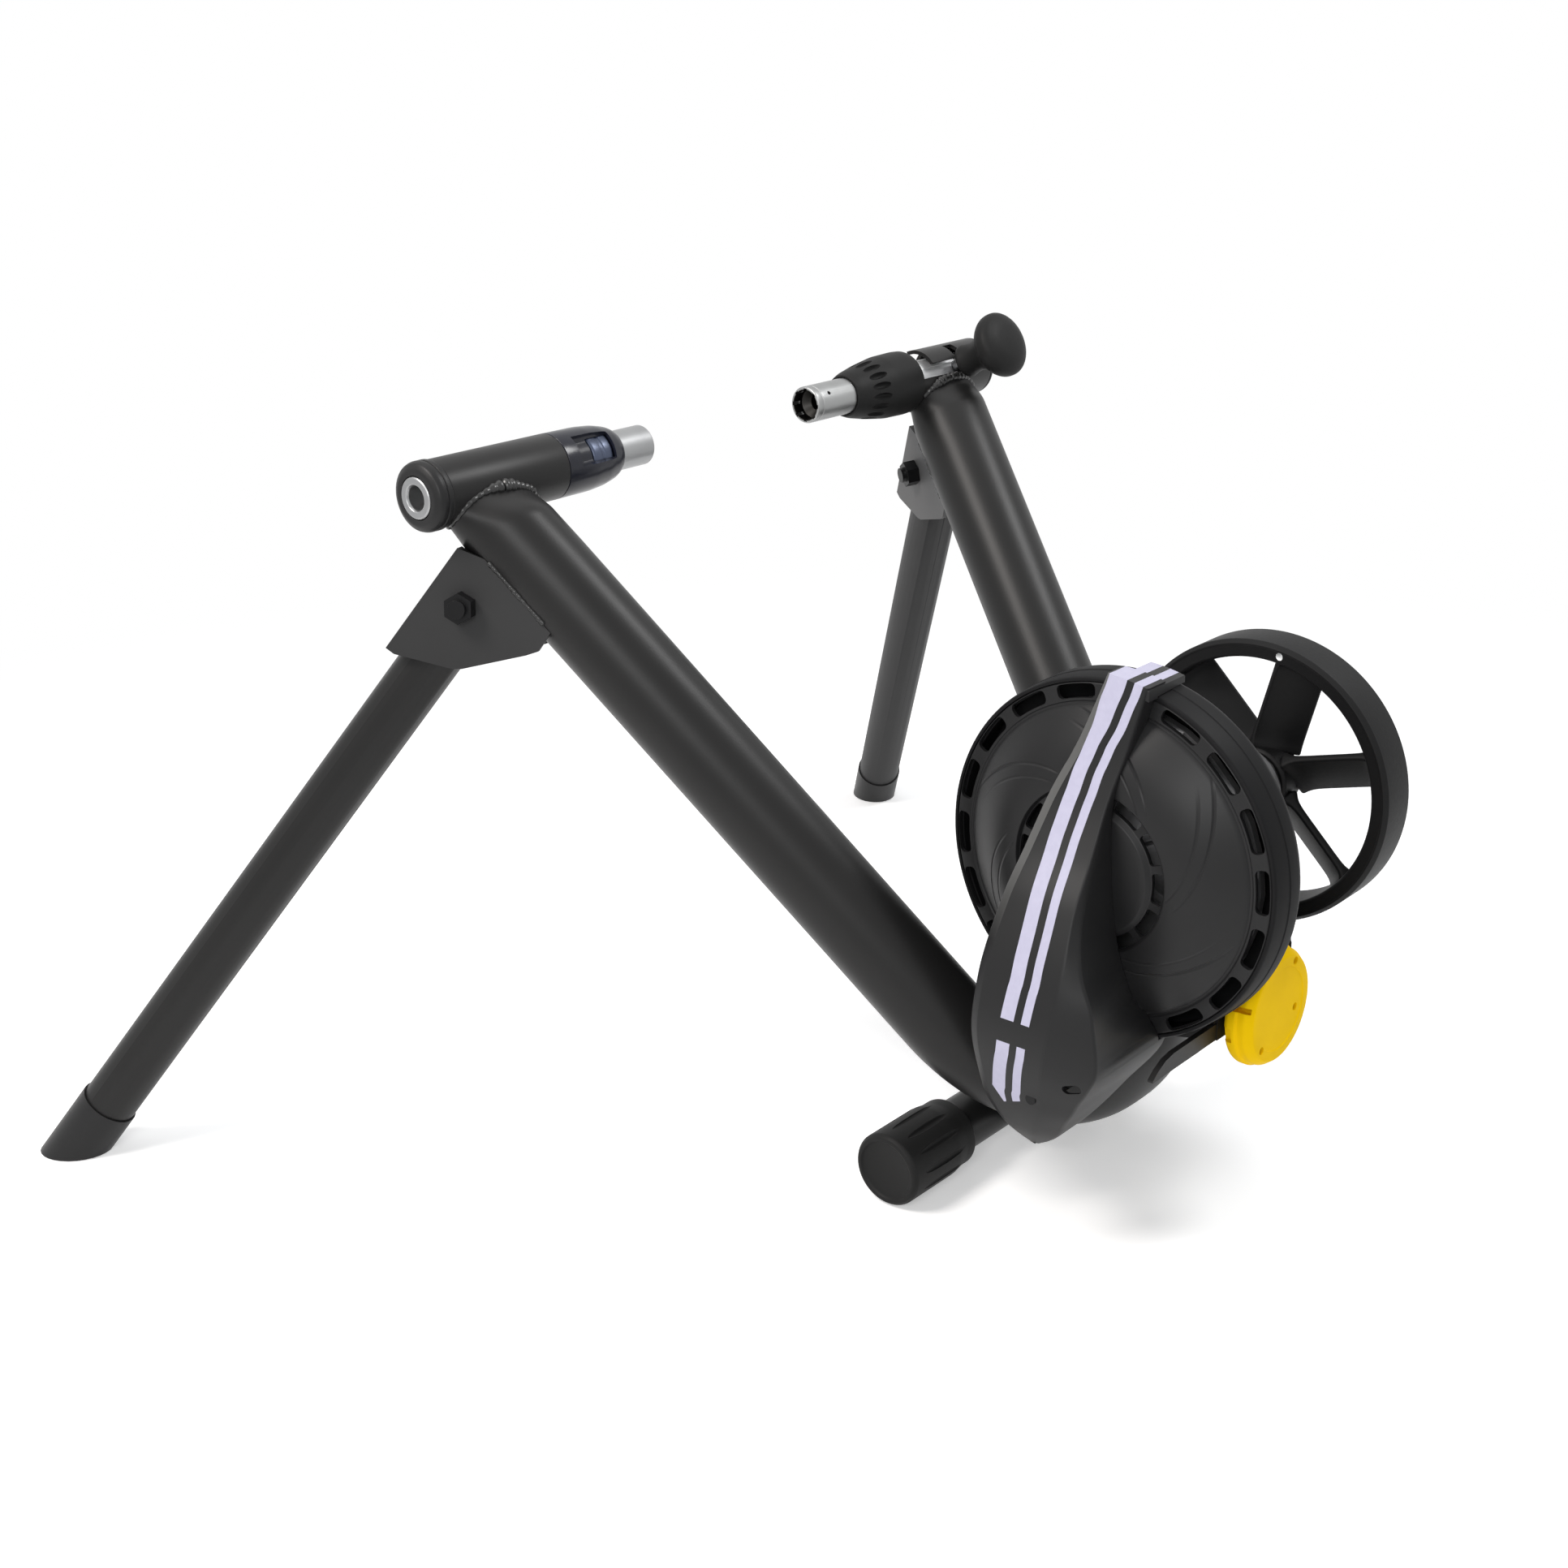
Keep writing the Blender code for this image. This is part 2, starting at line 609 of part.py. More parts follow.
def make_right_head():
    centre = AXLE_POINT
    inner = HEAD_RADIUS - HEAD_WALL
    tube = turned("right_head_tube", [(HEAD_RADIUS, 140 * MM), (HEAD_RADIUS, RIGHT_HEAD_END),
                                      (inner, RIGHT_HEAD_END), (inner, 140 * MM)], centre, 36)
    lock_x = HANDLE_X - CLAMP_TRAVEL
    half_angle = math.asin(SLOT_WIDTH / 2.0 / HEAD_RADIUS)
    turn = Matrix.Rotation(-HANDLE_UP, 4, "X")
    run = box("slot_run", (lock_x - SLOT_WIDTH / 2.0, -30 * MM, -SLOT_WIDTH / 2.0),
              (HANDLE_X + SLOT_WIDTH / 2.0, -10 * MM, SLOT_WIDTH / 2.0))
    run.data.transform(Matrix.Translation(AXLE_POINT) @ turn)
    lock = notch("lock_notch", lock_x, HANDLE_UP - half_angle, math.radians(150.0))
    park = notch("park_notch", HANDLE_X, HANDLE_UP - half_angle, HANDLE_UP + HANDLE_SWING + half_angle)
    cut(tube, run, lock, park)
    keep(tube, BLACK_PAINT, right_axle)

    plug = turned("right_end_cap", [(0.0, RIGHT_HEAD_END + 7 * MM), (13 * MM, RIGHT_HEAD_END + 6 * MM),
                                    (HEAD_RADIUS, RIGHT_HEAD_END + 3 * MM),
                                    (HEAD_RADIUS, RIGHT_HEAD_END + GAP),
                                    (inner - GAP, RIGHT_HEAD_END + GAP),
                                    (inner - GAP, RIGHT_HEAD_END - 8 * MM),
                                    (0.0, RIGHT_HEAD_END - 8 * MM)], centre, 28)
    keep(plug, BLACK_PLASTIC, right_axle)

    bore = PIN_RADIUS + 0.4 * MM
    socket = HEAD_RADIUS + GAP
    collar = turned("right_collar", [(bore, COLLAR_TIP), (13.2 * MM, COLLAR_TIP),
                                     (15.0 * MM, COLLAR_TIP + 5 * MM),
                                     (17.6 * MM, COLLAR_TIP + 18 * MM), (COLLAR_RADIUS, COLLAR_TIP + 36 * MM),
                                     (COLLAR_RADIUS + 0.4 * MM, COLLAR_END - 6 * MM),
                                     (COLLAR_RADIUS, COLLAR_END), (socket, COLLAR_END),
                                     (socket, 140 * MM - GAP), (bore, 140 * MM - GAP)], centre, 24)
    bm = bmesh.new()
    for k in range(8):
        dent = bmesh.ops.create_uvsphere(bm, u_segments=6, v_segments=4, radius=1.0)["verts"]
        bmesh.ops.scale(bm, vec=(9 * MM, 2.4 * MM, 2.2 * MM), verts=dent)
        bmesh.ops.translate(bm, vec=(0.0, 0.0, 19.4 * MM), verts=dent)
        # a turn of 4 degrees keeps the dents' own edges off the collar's
        turn = Matrix.Rotation(math.radians(45.0 * k + 4.0), 3, "X")
        bmesh.ops.rotate(bm, cent=(0, 0, 0), matrix=turn, verts=dent)
    bmesh.ops.translate(bm, vec=AXLE_POINT + Vector((135.3 * MM, 0, 0)), verts=bm.verts)
    cut(collar, from_bmesh("collar_dents", bm))
    keep(collar, BLACK_PLASTIC, right_axle)

    tip = PIN_GAP / 2.0
    joint_x = lock_x - SLOT_WIDTH
    pin = turned("right_pin", [(9.4 * MM, tip), (PIN_RADIUS - 0.8 * MM, tip), (PIN_RADIUS, tip + 0.8 * MM),
                               (PIN_RADIUS, joint_x), (5.2 * MM, joint_x), (5.2 * MM, joint_x - 12 * MM),
                               (5.2 * MM, tip + 12 * MM), (9.4 * MM, tip + 8 * MM)], centre, 24)
    keep(pin, ZINC, right_axle)

    washer = turned("thrust_washer", [(5.1 * MM, joint_x + GAP), (11.2 * MM, joint_x + GAP),
                                      (11.2 * MM, joint_x + 2.3 * MM), (5.1 * MM, joint_x + 2.3 * MM)],
                                      centre, 24)
    keep(washer, STEEL, right_axle)

    start = joint_x + 2.3 * MM + GAP
    bolt = turned("clamp_bolt", [(0.0, start), (PIN_RADIUS, start), (PIN_RADIUS, HANDLE_X + 14 * MM),
                                 (0.0, HANDLE_X + 14 * MM)], centre, 24)
    spigot = x_rod("clamp_spigot", start - PIN_REACH - 14 * MM, start + 4 * MM, centre, 4.8 * MM, 20)
    neck_base = 13.2 * MM
    socket_hole = rod("stem_hole", centre + Vector((HANDLE_X, 0, 0)) + HANDLE_DIRECTION * 4 * MM,
                      centre + Vector((HANDLE_X, 0, 0)) + HANDLE_DIRECTION * 20 * MM, 3.4 * MM, 20)
    join(bolt, spigot)
    cut(bolt, socket_hole)
    keep(bolt, ZINC, right_axle)

    foot = centre + Vector((HANDLE_X, 0.0, 0.0))
    stem = turned("handle_stem", [(0.0, 4.3 * MM), (3.1 * MM, 4.3 * MM), (3.1 * MM, neck_base),
                                  (3.9 * MM, neck_base), (3.9 * MM, 25 * MM), (3.0 * MM, 26 * MM),
                                  (3.0 * MM, 44 * MM), (0.0, 44 * MM)], foot, 24, HANDLE_DIRECTION)
    keep(stem, STEEL, right_axle)

    base = HEAD_RADIUS + 0.8 * MM
    under = COLLAR_RADIUS + 1.2 * MM
    knob = turned("handle_knob", [(4.2 * MM, under), (HANDLE_NECK - 0.4 * MM, under),
                                  (HANDLE_NECK, under + 1.4 * MM),
                                  (8.2 * MM, base + 9 * MM), (8.6 * MM, base + 16 * MM),
                                  (13.6 * MM, base + 22.5 * MM), (20.2 * MM, base + 28 * MM),
                                  (21.8 * MM, base + 33 * MM), (20.6 * MM, base + 38 * MM),
                                  (13.0 * MM, base + 42 * MM), (0.0, base + 43.6 * MM),
                                  (0.0, 44.3 * MM), (3.3 * MM, 44.3 * MM), (3.3 * MM, 26.7 * MM),
                                  (4.2 * MM, 25.6 * MM)], foot, 24, HANDLE_DIRECTION)
    keep(knob, BLACK_PLASTIC, right_axle)


make_right_head()

# Legs, brackets, hinge bolts and feet


def leg_frame(side):
    """Matrix at the hinge whose Z runs down the leg and whose X points towards the main tube."""
    mirror = Vector((side, 1.0, 1.0))
    top = Vector(a * b for a, b in zip(LEG_TOP, mirror))
    foot = Vector(a * b for a, b in zip(LEG_FOOT, mirror))
    down = (foot - top).normalized()
    tube_way = (in_plane(side * (HEAD_CENTRE - FRAME_DROP * math.tan(LEAN)), FRAME_DROP)
                - in_plane(side * HEAD_CENTRE, 0.0)).normalized()
    towards = (tube_way - down * tube_way.dot(down)).normalized()
    normal = down.cross(towards)
    hinge = top - down * HINGE_ABOVE_TOP
    matrix = Matrix((towards, normal, down)).transposed().to_4x4()
    matrix.translation = hinge
    return matrix, (foot - hinge).length


def make_leg(side, word):
    matrix, length = leg_frame(side)
    hinge = empty(f"{word}_leg_hinge", matrix.translation, stand)
    down = matrix.col[2].to_3d()
    origin = matrix.translation
    leg_end = length - FOOT_LENGTH * 0.45
    leg = rod(f"{word}_leg", origin - down * (LEG_RADIUS + 2 * MM), origin + down * leg_end, LEG_RADIUS, 28)
    bore = rod(f"{word}_leg_bore", origin + down * (LEG_RADIUS + 6 * MM), origin + down * (length + 30 * MM),
               LEG_RADIUS - LEG_WALL, 20)
    corner = box(f"{word}_leg_corner", (-30 * MM, -30 * MM, -40 * MM), (30 * MM, 30 * MM, 0.0))
    corner.data.transform(matrix)
    round_end = rod(f"{word}_leg_round", matrix @ Vector((0, -36 * MM, 0)), matrix @ Vector((0, 36 * MM, 0)),
                    LEG_RADIUS, 32)
    cut(corner, round_end)
    hole = rod(f"{word}_leg_hole", matrix @ Vector((0, -36 * MM, 0)), matrix @ Vector((0, 36 * MM, 0)),
               HINGE_BOLT_RADIUS + GAP, 20)
    cut(leg, bore, corner, hole)
    keep(leg, BLACK_PAINT if side < 0 else GREY_PAINT, hinge)

    foot = rod(f"{word}_foot", origin + down * (length - FOOT_LENGTH), origin + down * (length + 30 * MM),
               FOOT_RADIUS, 28)
    socket = rod(f"{word}_foot_socket", origin + down * (length - FOOT_LENGTH - 5 * MM),
                 origin + down * (leg_end + GAP), LEG_RADIUS + GAP, 28)
    ground = box(f"{word}_ground", (side * LEG_FOOT.x - 90 * MM, LEG_FOOT.y - 90 * MM, -60 * MM),
                 (side * LEG_FOOT.x + 90 * MM, LEG_FOOT.y + 90 * MM, 0.0))
    cut(foot, socket, ground)
    keep(foot, BLACK_PLASTIC if side < 0 else GREY_PAINT, hinge)

    above = HINGE_ABOVE_TOP
    outline = [(-20.6 * MM, above - 51.0 * MM), (2.5 * MM, above - 58.0 * MM), (46.0 * MM, above - 52.0 * MM),
               (47.0 * MM, above - 34.0 * MM), (43.0 * MM, above - 28.0 * MM), (19.4 * MM, above + 0.8 * MM),
               (15.0 * MM, above + 4.2 * MM), (-15.0 * MM, above + 18.2 * MM),
               (-20.6 * MM, above + 18.4 * MM)]
    upright = matrix @ Matrix(((1, 0, 0, 0), (0, 0, -1, 0), (0, 1, 0, 0), (0, 0, 0, 1)))
    bracket = plate(f"{word}_leg_bracket", outline, [((0.0, 0.0), HINGE_BOLT_RADIUS + GAP)],
                    2 * CHEEK_OUTER, upright)
    channel = box(f"{word}_channel", (-LEG_RADIUS - GAP, -CHEEK_INNER, -90 * MM),
                  (90 * MM, CHEEK_INNER, 90 * MM))
    channel.data.transform(matrix)
    saddle = tube_along(f"{word}_bracket_saddle", [in_plane(side * (HEAD_CENTRE - d * math.tan(LEAN)), d)
                                                   for d in (-20 * MM, 200 * MM)], TUBE_RADIUS + GAP, 32)
    cut(bracket, channel, saddle)
    keep(bracket, BLACK_PAINT if side < 0 else GREY_PAINT, stand)
    return matrix


def make_hinge_bolt(matrix, word):
    """Hexagon-headed bolt with washer faces and nut, seated on the bracket's cheeks."""
    face = CHEEK_OUTER + GAP
    bolt = rod(f"{word}_hinge_bolt", matrix @ Vector((0, -face - 1 * MM, 0)),
               matrix @ Vector((0, face + 11 * MM, 0)),
               HINGE_BOLT_RADIUS, 20)
    head = rod(f"{word}_bolt_head", matrix @ Vector((0, -face - 6.4 * MM, 0)), matrix @ Vector((0, -face, 0)),
               8.6 * MM, 6)
    nut = rod(f"{word}_bolt_nut", matrix @ Vector((0, face, 0)), matrix @ Vector((0, face + 8 * MM, 0)),
              8.6 * MM, 6)
    join(bolt, head, nut)
    return keep(bolt, BLACK_STEEL, stand)


for side_sign, side_word in ((-1, "left"), (1, "right")):
    make_hinge_bolt(make_leg(side_sign, side_word), side_word)

# Frame bracket for the resistance unit, its pivot bolt and anchor pin


def make_unit_bracket():
    pivot = (PIVOT.y, PIVOT.z)
    anchor = (ANCHOR.y, ANCHOR.z)
    low = in_plane(0.0, FRAME_DROP)
    outline = hull([(pivot, 15 * MM), (anchor, 10 * MM), ((CROSS_Y, CAP_RADIUS + 3 * MM), 15 * MM),
                    ((low.y + 3 * MM, low.z + 3 * MM), 16 * MM)])
    holes = [(pivot, PIVOT_BOLT_RADIUS + GAP), (anchor, ANCHOR_PIN_RADIUS + GAP)]
    near = plate("unit_bracket", outline, holes, PLATE_THICK, yz_plane(-PLATE_INNER - PLATE_THICK / 2))
    far = plate("bracket_far", outline, holes, PLATE_THICK, yz_plane(PLATE_INNER + PLATE_THICK / 2))
    web = box("bracket_web", (-PLATE_INNER - 1 * MM, PIVOT.y + 6 * MM, 42 * MM),
              (PLATE_INNER + 1 * MM, PIVOT.y + 10 * MM, 66 * MM))
    join(near, far, web)
    bend = tube_along("bracket_bend", frame_path(3 * MM), TUBE_RADIUS + GAP, 28)
    cross = x_rod("bracket_cross", -60 * MM, 60 * MM, (0, CROSS_Y, CAP_RADIUS), CROSS_RADIUS + GAP, 32)
    cut(near, bend, cross)
    keep(near, BLACK_PAINT, stand)

    ear = EAR_INNER + EAR_THICK
    bolt = x_rod("pivot_bolt", -ear - 1 * MM, ear + 12 * MM, PIVOT, PIVOT_BOLT_RADIUS, 24)
    head = x_rod("pivot_head", -ear - 6.6 * MM, -ear - GAP, PIVOT, 8.6 * MM, 6)
    nut = x_rod("pivot_nut", ear + GAP, ear + 8.3 * MM, PIVOT, 8.6 * MM, 6)
    join(bolt, head, nut)
    keep(bolt, BLACK_STEEL, stand)

    end = PLATE_INNER + PLATE_THICK
    pin = x_rod("anchor_pin", -end - 1 * MM, end + 1 * MM, ANCHOR, ANCHOR_PIN_RADIUS, 20)
    ring = x_rod("anchor_left_ring", -end - 1.4 * MM, -end - GAP, ANCHOR, 6.5 * MM, 20)
    other = x_rod("anchor_right_ring", end + GAP, end + 1.4 * MM, ANCHOR, 6.5 * MM, 20)
    join(pin, ring, other)
    keep(pin, STEEL, stand)


make_unit_bracket()


def make_bushes():
    """Flanged spacer rings that fill the space between the bracket plates and the yoke's ears."""
    start = PLATE_INNER + PLATE_THICK + GAP
    end = EAR_INNER - GAP
    ring = [(PIVOT_BOLT_RADIUS + GAP, start), (9 * MM, start), (9 * MM, end), (PIVOT_BOLT_RADIUS + GAP, end)]
    for word, way in (("left", -1), ("right", 1)):
        bush = turned(f"pivot_bush_{word}", ring, PIVOT, 24, (way, 0, 0))
        keep(bush, BRONZE, unit_pivot)


make_bushes()

# Yoke


def arm_screw_seat(depth):
    """A point on the arm screw's line, at a depth inward from the arm's outer face."""
    return Vector((-128.5 * MM + depth, -321 * MM, 103 * MM))


def make_yoke():
    pivot = ((PIVOT.y, PIVOT.z), 15 * MM)
    hub = (HUB.y, HUB.z)
    ear_low = arc((PIVOT.y, PIVOT.z), 15 * MM, -190, 20, 9)
    upper = arc(hub, 30 * MM, 25, 175, 9)
    edge_y = TAIL_Y - TAIL_THICK + 1 * MM
    tail = [(edge_y, TAIL_HIGH + 6 * MM), (edge_y, TAIL_LOW + 1 * MM)]
    under = [(-292 * MM, 101 * MM), (-266 * MM, 96 * MM)]
    full = ear_low + upper + tail + under
    pivot_hole = (pivot[0], PIVOT_BOLT_RADIUS + GAP)
    bearing_hole = (hub, BEARING_RADIUS + GAP)
    ear_middle = EAR_INNER + EAR_THICK / 2
    yoke = plate("yoke", full, [pivot_hole, bearing_hole], EAR_THICK, yz_plane(-ear_middle))

    low_ear = ear_low + [(-300 * MM, TAIL_HIGH + 2 * MM), (edge_y, TAIL_HIGH - 1 * MM), tail[1]] + under
    ear = plate("yoke_ear", low_ear, [pivot_hole], EAR_THICK, yz_plane(ear_middle))

    cheek_outline = hull([(hub, 22 * MM), ((-337 * MM, TAIL_LOW + 14 * MM), 11 * MM),
                          ((-322 * MM, TAIL_LOW + 16 * MM), 8 * MM)])
    cheek = plate("yoke_cheek", cheek_outline, [bearing_hole], EAR_THICK,
                  yz_plane(RIGHT_CHEEK + EAR_THICK / 2))

    right = RIGHT_CHEEK + EAR_THICK
    tail_plate = box("yoke_tail", (-EAR_INNER - 2 * MM, TAIL_Y - TAIL_THICK, TAIL_LOW),
                     (TAIL_RIGHT, TAIL_Y, TAIL_HIGH))
    corner = Vector((TAIL_RIGHT, TAIL_Y - TAIL_THICK, 0.0))
    gusset_end = Vector((right - 1 * MM, -350 * MM, 0.0))
    reach = (gusset_end - corner).length
    gusset = box("yoke_gusset", (-3 * MM, 0.0, TAIL_LOW + 5 * MM), (reach, TAIL_THICK, TAIL_HIGH - 1 * MM))
    turn = math.atan2(gusset_end.y - corner.y, gusset_end.x - corner.x)
    gusset.data.transform(Matrix.Translation(corner) @ Matrix.Rotation(turn, 4, "Z"))
    tail_strip = box("yoke_strip", (-TAIL_LEFT, TAIL_Y - TAIL_THICK + 0.4 * MM, TAIL_LOW + 0.4 * MM),
                     (-EAR_INNER, TAIL_Y - 0.4 * MM, TAIL_LOW + 10 * MM))
    inside = RIGHT_CHEEK + 1 * MM
    web_outline = [(-EAR_INNER - 1 * MM, TAIL_Y - 1 * MM), (TAIL_RIGHT - 2 * MM, TAIL_Y - 1 * MM),
                   (inside, -349 * MM), (inside, -316 * MM), (-EAR_INNER - 1 * MM, -316 * MM)]
    web = plate("yoke_web", web_outline, [], 4 * MM, Matrix.Translation((0.0, 0.0, TAIL_HIGH - 5 * MM)))
    slot = rod("tail_hole", (0, TAIL_Y - 12 * MM, ANCHOR.z), (0, TAIL_Y + 8 * MM, ANCHOR.z), 6.4 * MM, 20)
    tab = box("yoke_tab", (-113 * MM, -328 * MM, 101 * MM), (-EAR_INNER - 1 * MM, -306 * MM, 105 * MM))
    tab_end = box("yoke_tab_end", (-113 * MM, -328 * MM, 96 * MM), (-110 * MM, -306 * MM, 110 * MM))
    screw_hole = rod("tab_screw_hole", arm_screw_seat(8 * MM), arm_screw_seat(30 * MM), 2.0 * MM + GAP, 14)
    boss_left = ring_about_hub("boss_left", -EAR_INNER - 1 * MM, -EAR_INNER + 5 * MM - GAP)
    boss_right = ring_about_hub("boss_right", right - 1 * MM, right + 5 * MM - GAP)
    join(yoke, ear, cheek, tail_plate, gusset, tail_strip, web, tab, tab_end, boss_left, boss_right)
    cut(yoke, slot, screw_hole)
    return keep(yoke, BLACK_PAINT, unit_pivot)


def ring_about_hub(name, x0, x1):
    inner = BEARING_RADIUS + 1.2 * MM
    return turned(name, [(inner, x0), (21 * MM, x0), (21 * MM, x1), (inner, x1)],
                  (0, HUB.y, HUB.z), 24)


make_yoke()


def make_bearings():
    inner = SHAFT_RADIUS + GAP
    outline = [(inner, 0.0), (9.4 * MM, 0.0), (9.6 * MM, 0.8 * MM), (12.8 * MM, 0.8 * MM), (13.0 * MM, 0.0),
               (BEARING_RADIUS, 0.0), (BEARING_RADIUS, BEARING_WIDTH), (inner, BEARING_WIDTH)]
    left = -EAR_INNER - EAR_THICK
    for word, x in (("left", left), ("right", RIGHT_CHEEK)):
        bearing = turned(f"bearing_{word}", outline, (x, HUB.y, HUB.z), 24)
        keep(bearing, STEEL, unit_pivot)


make_bearings()

# Rotor: shaft, roller, flywheel and the finned brake disc

BLADE_REACH = FLY_RADIUS - FLY_RIM + 3 * MM


def make_rotor():
    centre = Vector((0.0, HUB.y, HUB.z))
    shaft_left, shaft_right = -66 * MM, FLY_FAR + 3 * MM
    shaft = turned("rotor_shaft", [(0.0, shaft_left), (SHAFT_RADIUS - 0.6 * MM, shaft_left),
                                   (SHAFT_RADIUS, shaft_left + 0.6 * MM),
                                   (SHAFT_RADIUS, shaft_right - 0.6 * MM),
                                   (SHAFT_RADIUS - 0.6 * MM, shaft_right), (0.0, shaft_right)], centre, 24)
    keep(shaft, STEEL, rotor_axis)

    bore = SHAFT_RADIUS + GAP
    hollow = ROLLER_RADIUS - 5 * MM
    roller = turned("roller", [(bore, ROLLER_LEFT + 3 * MM), (hollow, ROLLER_LEFT + 3 * MM),
                               (hollow, ROLLER_LEFT),
                               (ROLLER_RADIUS - 1.2 * MM, ROLLER_LEFT),
                               (ROLLER_RADIUS, ROLLER_LEFT + 1.2 * MM),
                               (ROLLER_RADIUS, ROLLER_RIGHT - 1.2 * MM),
                               (ROLLER_RADIUS - 1.2 * MM, ROLLER_RIGHT),
                               (hollow, ROLLER_RIGHT), (hollow, ROLLER_RIGHT - 3 * MM),
                               (bore, ROLLER_RIGHT - 3 * MM)], centre, 40)
    keep(roller, ALUMINIUM, rotor_axis)

    rim_inner = FLY_RADIUS - FLY_RIM
    fly = turned("flywheel", [(rim_inner, FLY_NEAR), (FLY_RADIUS - 2 * MM, FLY_NEAR),
                              (FLY_RADIUS, FLY_NEAR + 2 * MM),
                              (FLY_RADIUS, FLY_FAR - 2 * MM), (FLY_RADIUS - 2 * MM, FLY_FAR),
                              (rim_inner, FLY_FAR)],
                 centre, 48)
    near = RIGHT_CHEEK + BEARING_WIDTH + 2 * GAP
    far = FLY_FAR - 5 * MM
    hub = turned("fly_hub", [(bore, near), (12 * MM, near), (13 * MM, near + 4 * MM),
                             (18 * MM, near + 5 * MM),
                             (FLY_HUB_RADIUS, near + 7 * MM), (FLY_HUB_RADIUS, far - 1.5 * MM),
                             (FLY_HUB_RADIUS - 1.5 * MM, far), (bore, far)], centre, 24)
    join(fly, hub)
    for k in range(BLADE_COUNT):
        angle = BLADE_PHASE + 2.0 * math.pi * k / BLADE_COUNT
        blade = box(f"blade_{k}", (-BLADE_WIDTH / 2, FLY_HUB_RADIUS - 3 * MM, -BLADE_THICK / 2),
                    (BLADE_WIDTH / 2, BLADE_REACH, BLADE_THICK / 2))
        pitch = Matrix.Rotation(-BLADE_PITCH, 4, "Y")
        aim = Matrix.Rotation(angle, 4, "X")
        blade.data.transform(Matrix.Translation(centre + Vector((BLADE_MIDDLE, 0, 0))) @ aim @ pitch)
        join(fly, blade)
    keep(fly, CAST_IRON, rotor_axis)

    start = far + GAP
    nut = x_rod("flywheel_nut", start, start + 6 * MM, centre, 9 * MM, 6)
    cut(nut, x_rod("nut_bore", start - 1 * MM, start + 7 * MM, centre, bore, 24))
    keep(nut, ZINC, rotor_axis)


make_rotor()


def make_brake_rotor():
    """Aluminium disc with curved blower fins, keyed to the shaft inside the drum."""
    centre = Vector((0.0, HUB.y, HUB.z))
    bore = SHAFT_RADIUS + GAP
    disc = turned("brake_rotor", [(bore, -62 * MM), (13 * MM, -62 * MM), (14 * MM, -54 * MM),
                                  (86 * MM, -54 * MM),
                                  (86 * MM, -49.5 * MM), (14 * MM, -49.5 * MM), (13 * MM, -47 * MM),
                                  (bore, -47 * MM)], centre, 28)
    fins = bmesh.new()
    for k in range(12):
        base = 2.0 * math.pi * k / 12
        rail = []
        for j in range(4):
            r = (46 + 12.6 * j) * MM
            a = base + 0.42 * (j / 3.0) ** 1.4
            rail.append((r * math.cos(a), r * math.sin(a), a))
        rings = []
        for y, z, a in rail:
            side = Vector((0.0, -math.sin(a), math.cos(a))) * 1.1 * MM
            middle = Vector((0.0, y, z))
            ring = [middle + side + Vector((x, 0, 0)) for x in (-60.5 * MM, -53 * MM)]
            ring += [middle - side + Vector((x, 0, 0)) for x in (-53 * MM, -60.5 * MM)]
            rings.append([fins.verts.new(centre + p) for p in ring])
        for first, second in zip(rings, rings[1:]):
            for m in range(4):
                fins.faces.new((first[m], first[(m + 1) % 4], second[(m + 1) % 4], second[m]))
        fins.faces.new(rings[0])
        fins.faces.new(rings[-1][::-1])
    join(disc, from_bmesh("rotor_fins", fins))
    return keep(disc, ALUMINIUM, rotor_axis)


make_brake_rotor()

# Drum: pan, vented front cover and the coils inside

HUB_LINE = Vector((0.0, HUB.y, HUB.z))
COVER_RADIUS = DRUM_RADIUS_NEAR - DRUM_WALL - GAP
COVER_RINGS = ((COVER_RADIUS, DRUM_NEAR + 1.0 * MM), (95.4 * MM, DRUM_NEAR),
               (89.2 * MM, DRUM_NEAR - 0.4 * MM),
               (84.6 * MM, DRUM_NEAR - 1.0 * MM))
DOME_RINGS = 3
DOME_OUTER = 84.6 * MM
DOME_INNER = 46.6 * MM


def cover_profile():
    """Radius and x of the front cover's outer skin, from the rim to the hub cap."""
    rings = list(COVER_RINGS)
    low = DRUM_NEAR - 1.0 * MM
    for k in range(1, DOME_RINGS + 1):
        t = k / DOME_RINGS
        rings.append((DOME_OUTER + (DOME_INNER - DOME_OUTER) * t,
                      low - DOME_RISE * math.sin(t * math.pi / 2)))
    crest = low - DOME_RISE
    rings += [(44.4 * MM, crest + 2.4 * MM), (37.0 * MM, crest + 2.4 * MM), (34.0 * MM, crest - 0.6 * MM)]
    return rings


def spun_sheet(rings, steps, phase):
    """Spin an open profile about the hub's line; returns the mesh and its faces by band and step."""
    bm = bmesh.new()
    rows = []
    for radius, x in rings:
        row = []
        for k in range(steps):
            a = phase + 2.0 * math.pi * k / steps
            row.append(bm.verts.new((x, HUB.y + radius * math.cos(a), HUB.z + radius * math.sin(a))))
        rows.append(row)
    bands = []
    for outer, inner in zip(rows, rows[1:]):
        band = []
        for k in range(steps):
            j = (k + 1) % steps
            band.append(bm.faces.new((outer[k], outer[j], inner[j], inner[k])))
        bands.append(band)
    bm.faces.new(rows[-1])
    return bm, bands


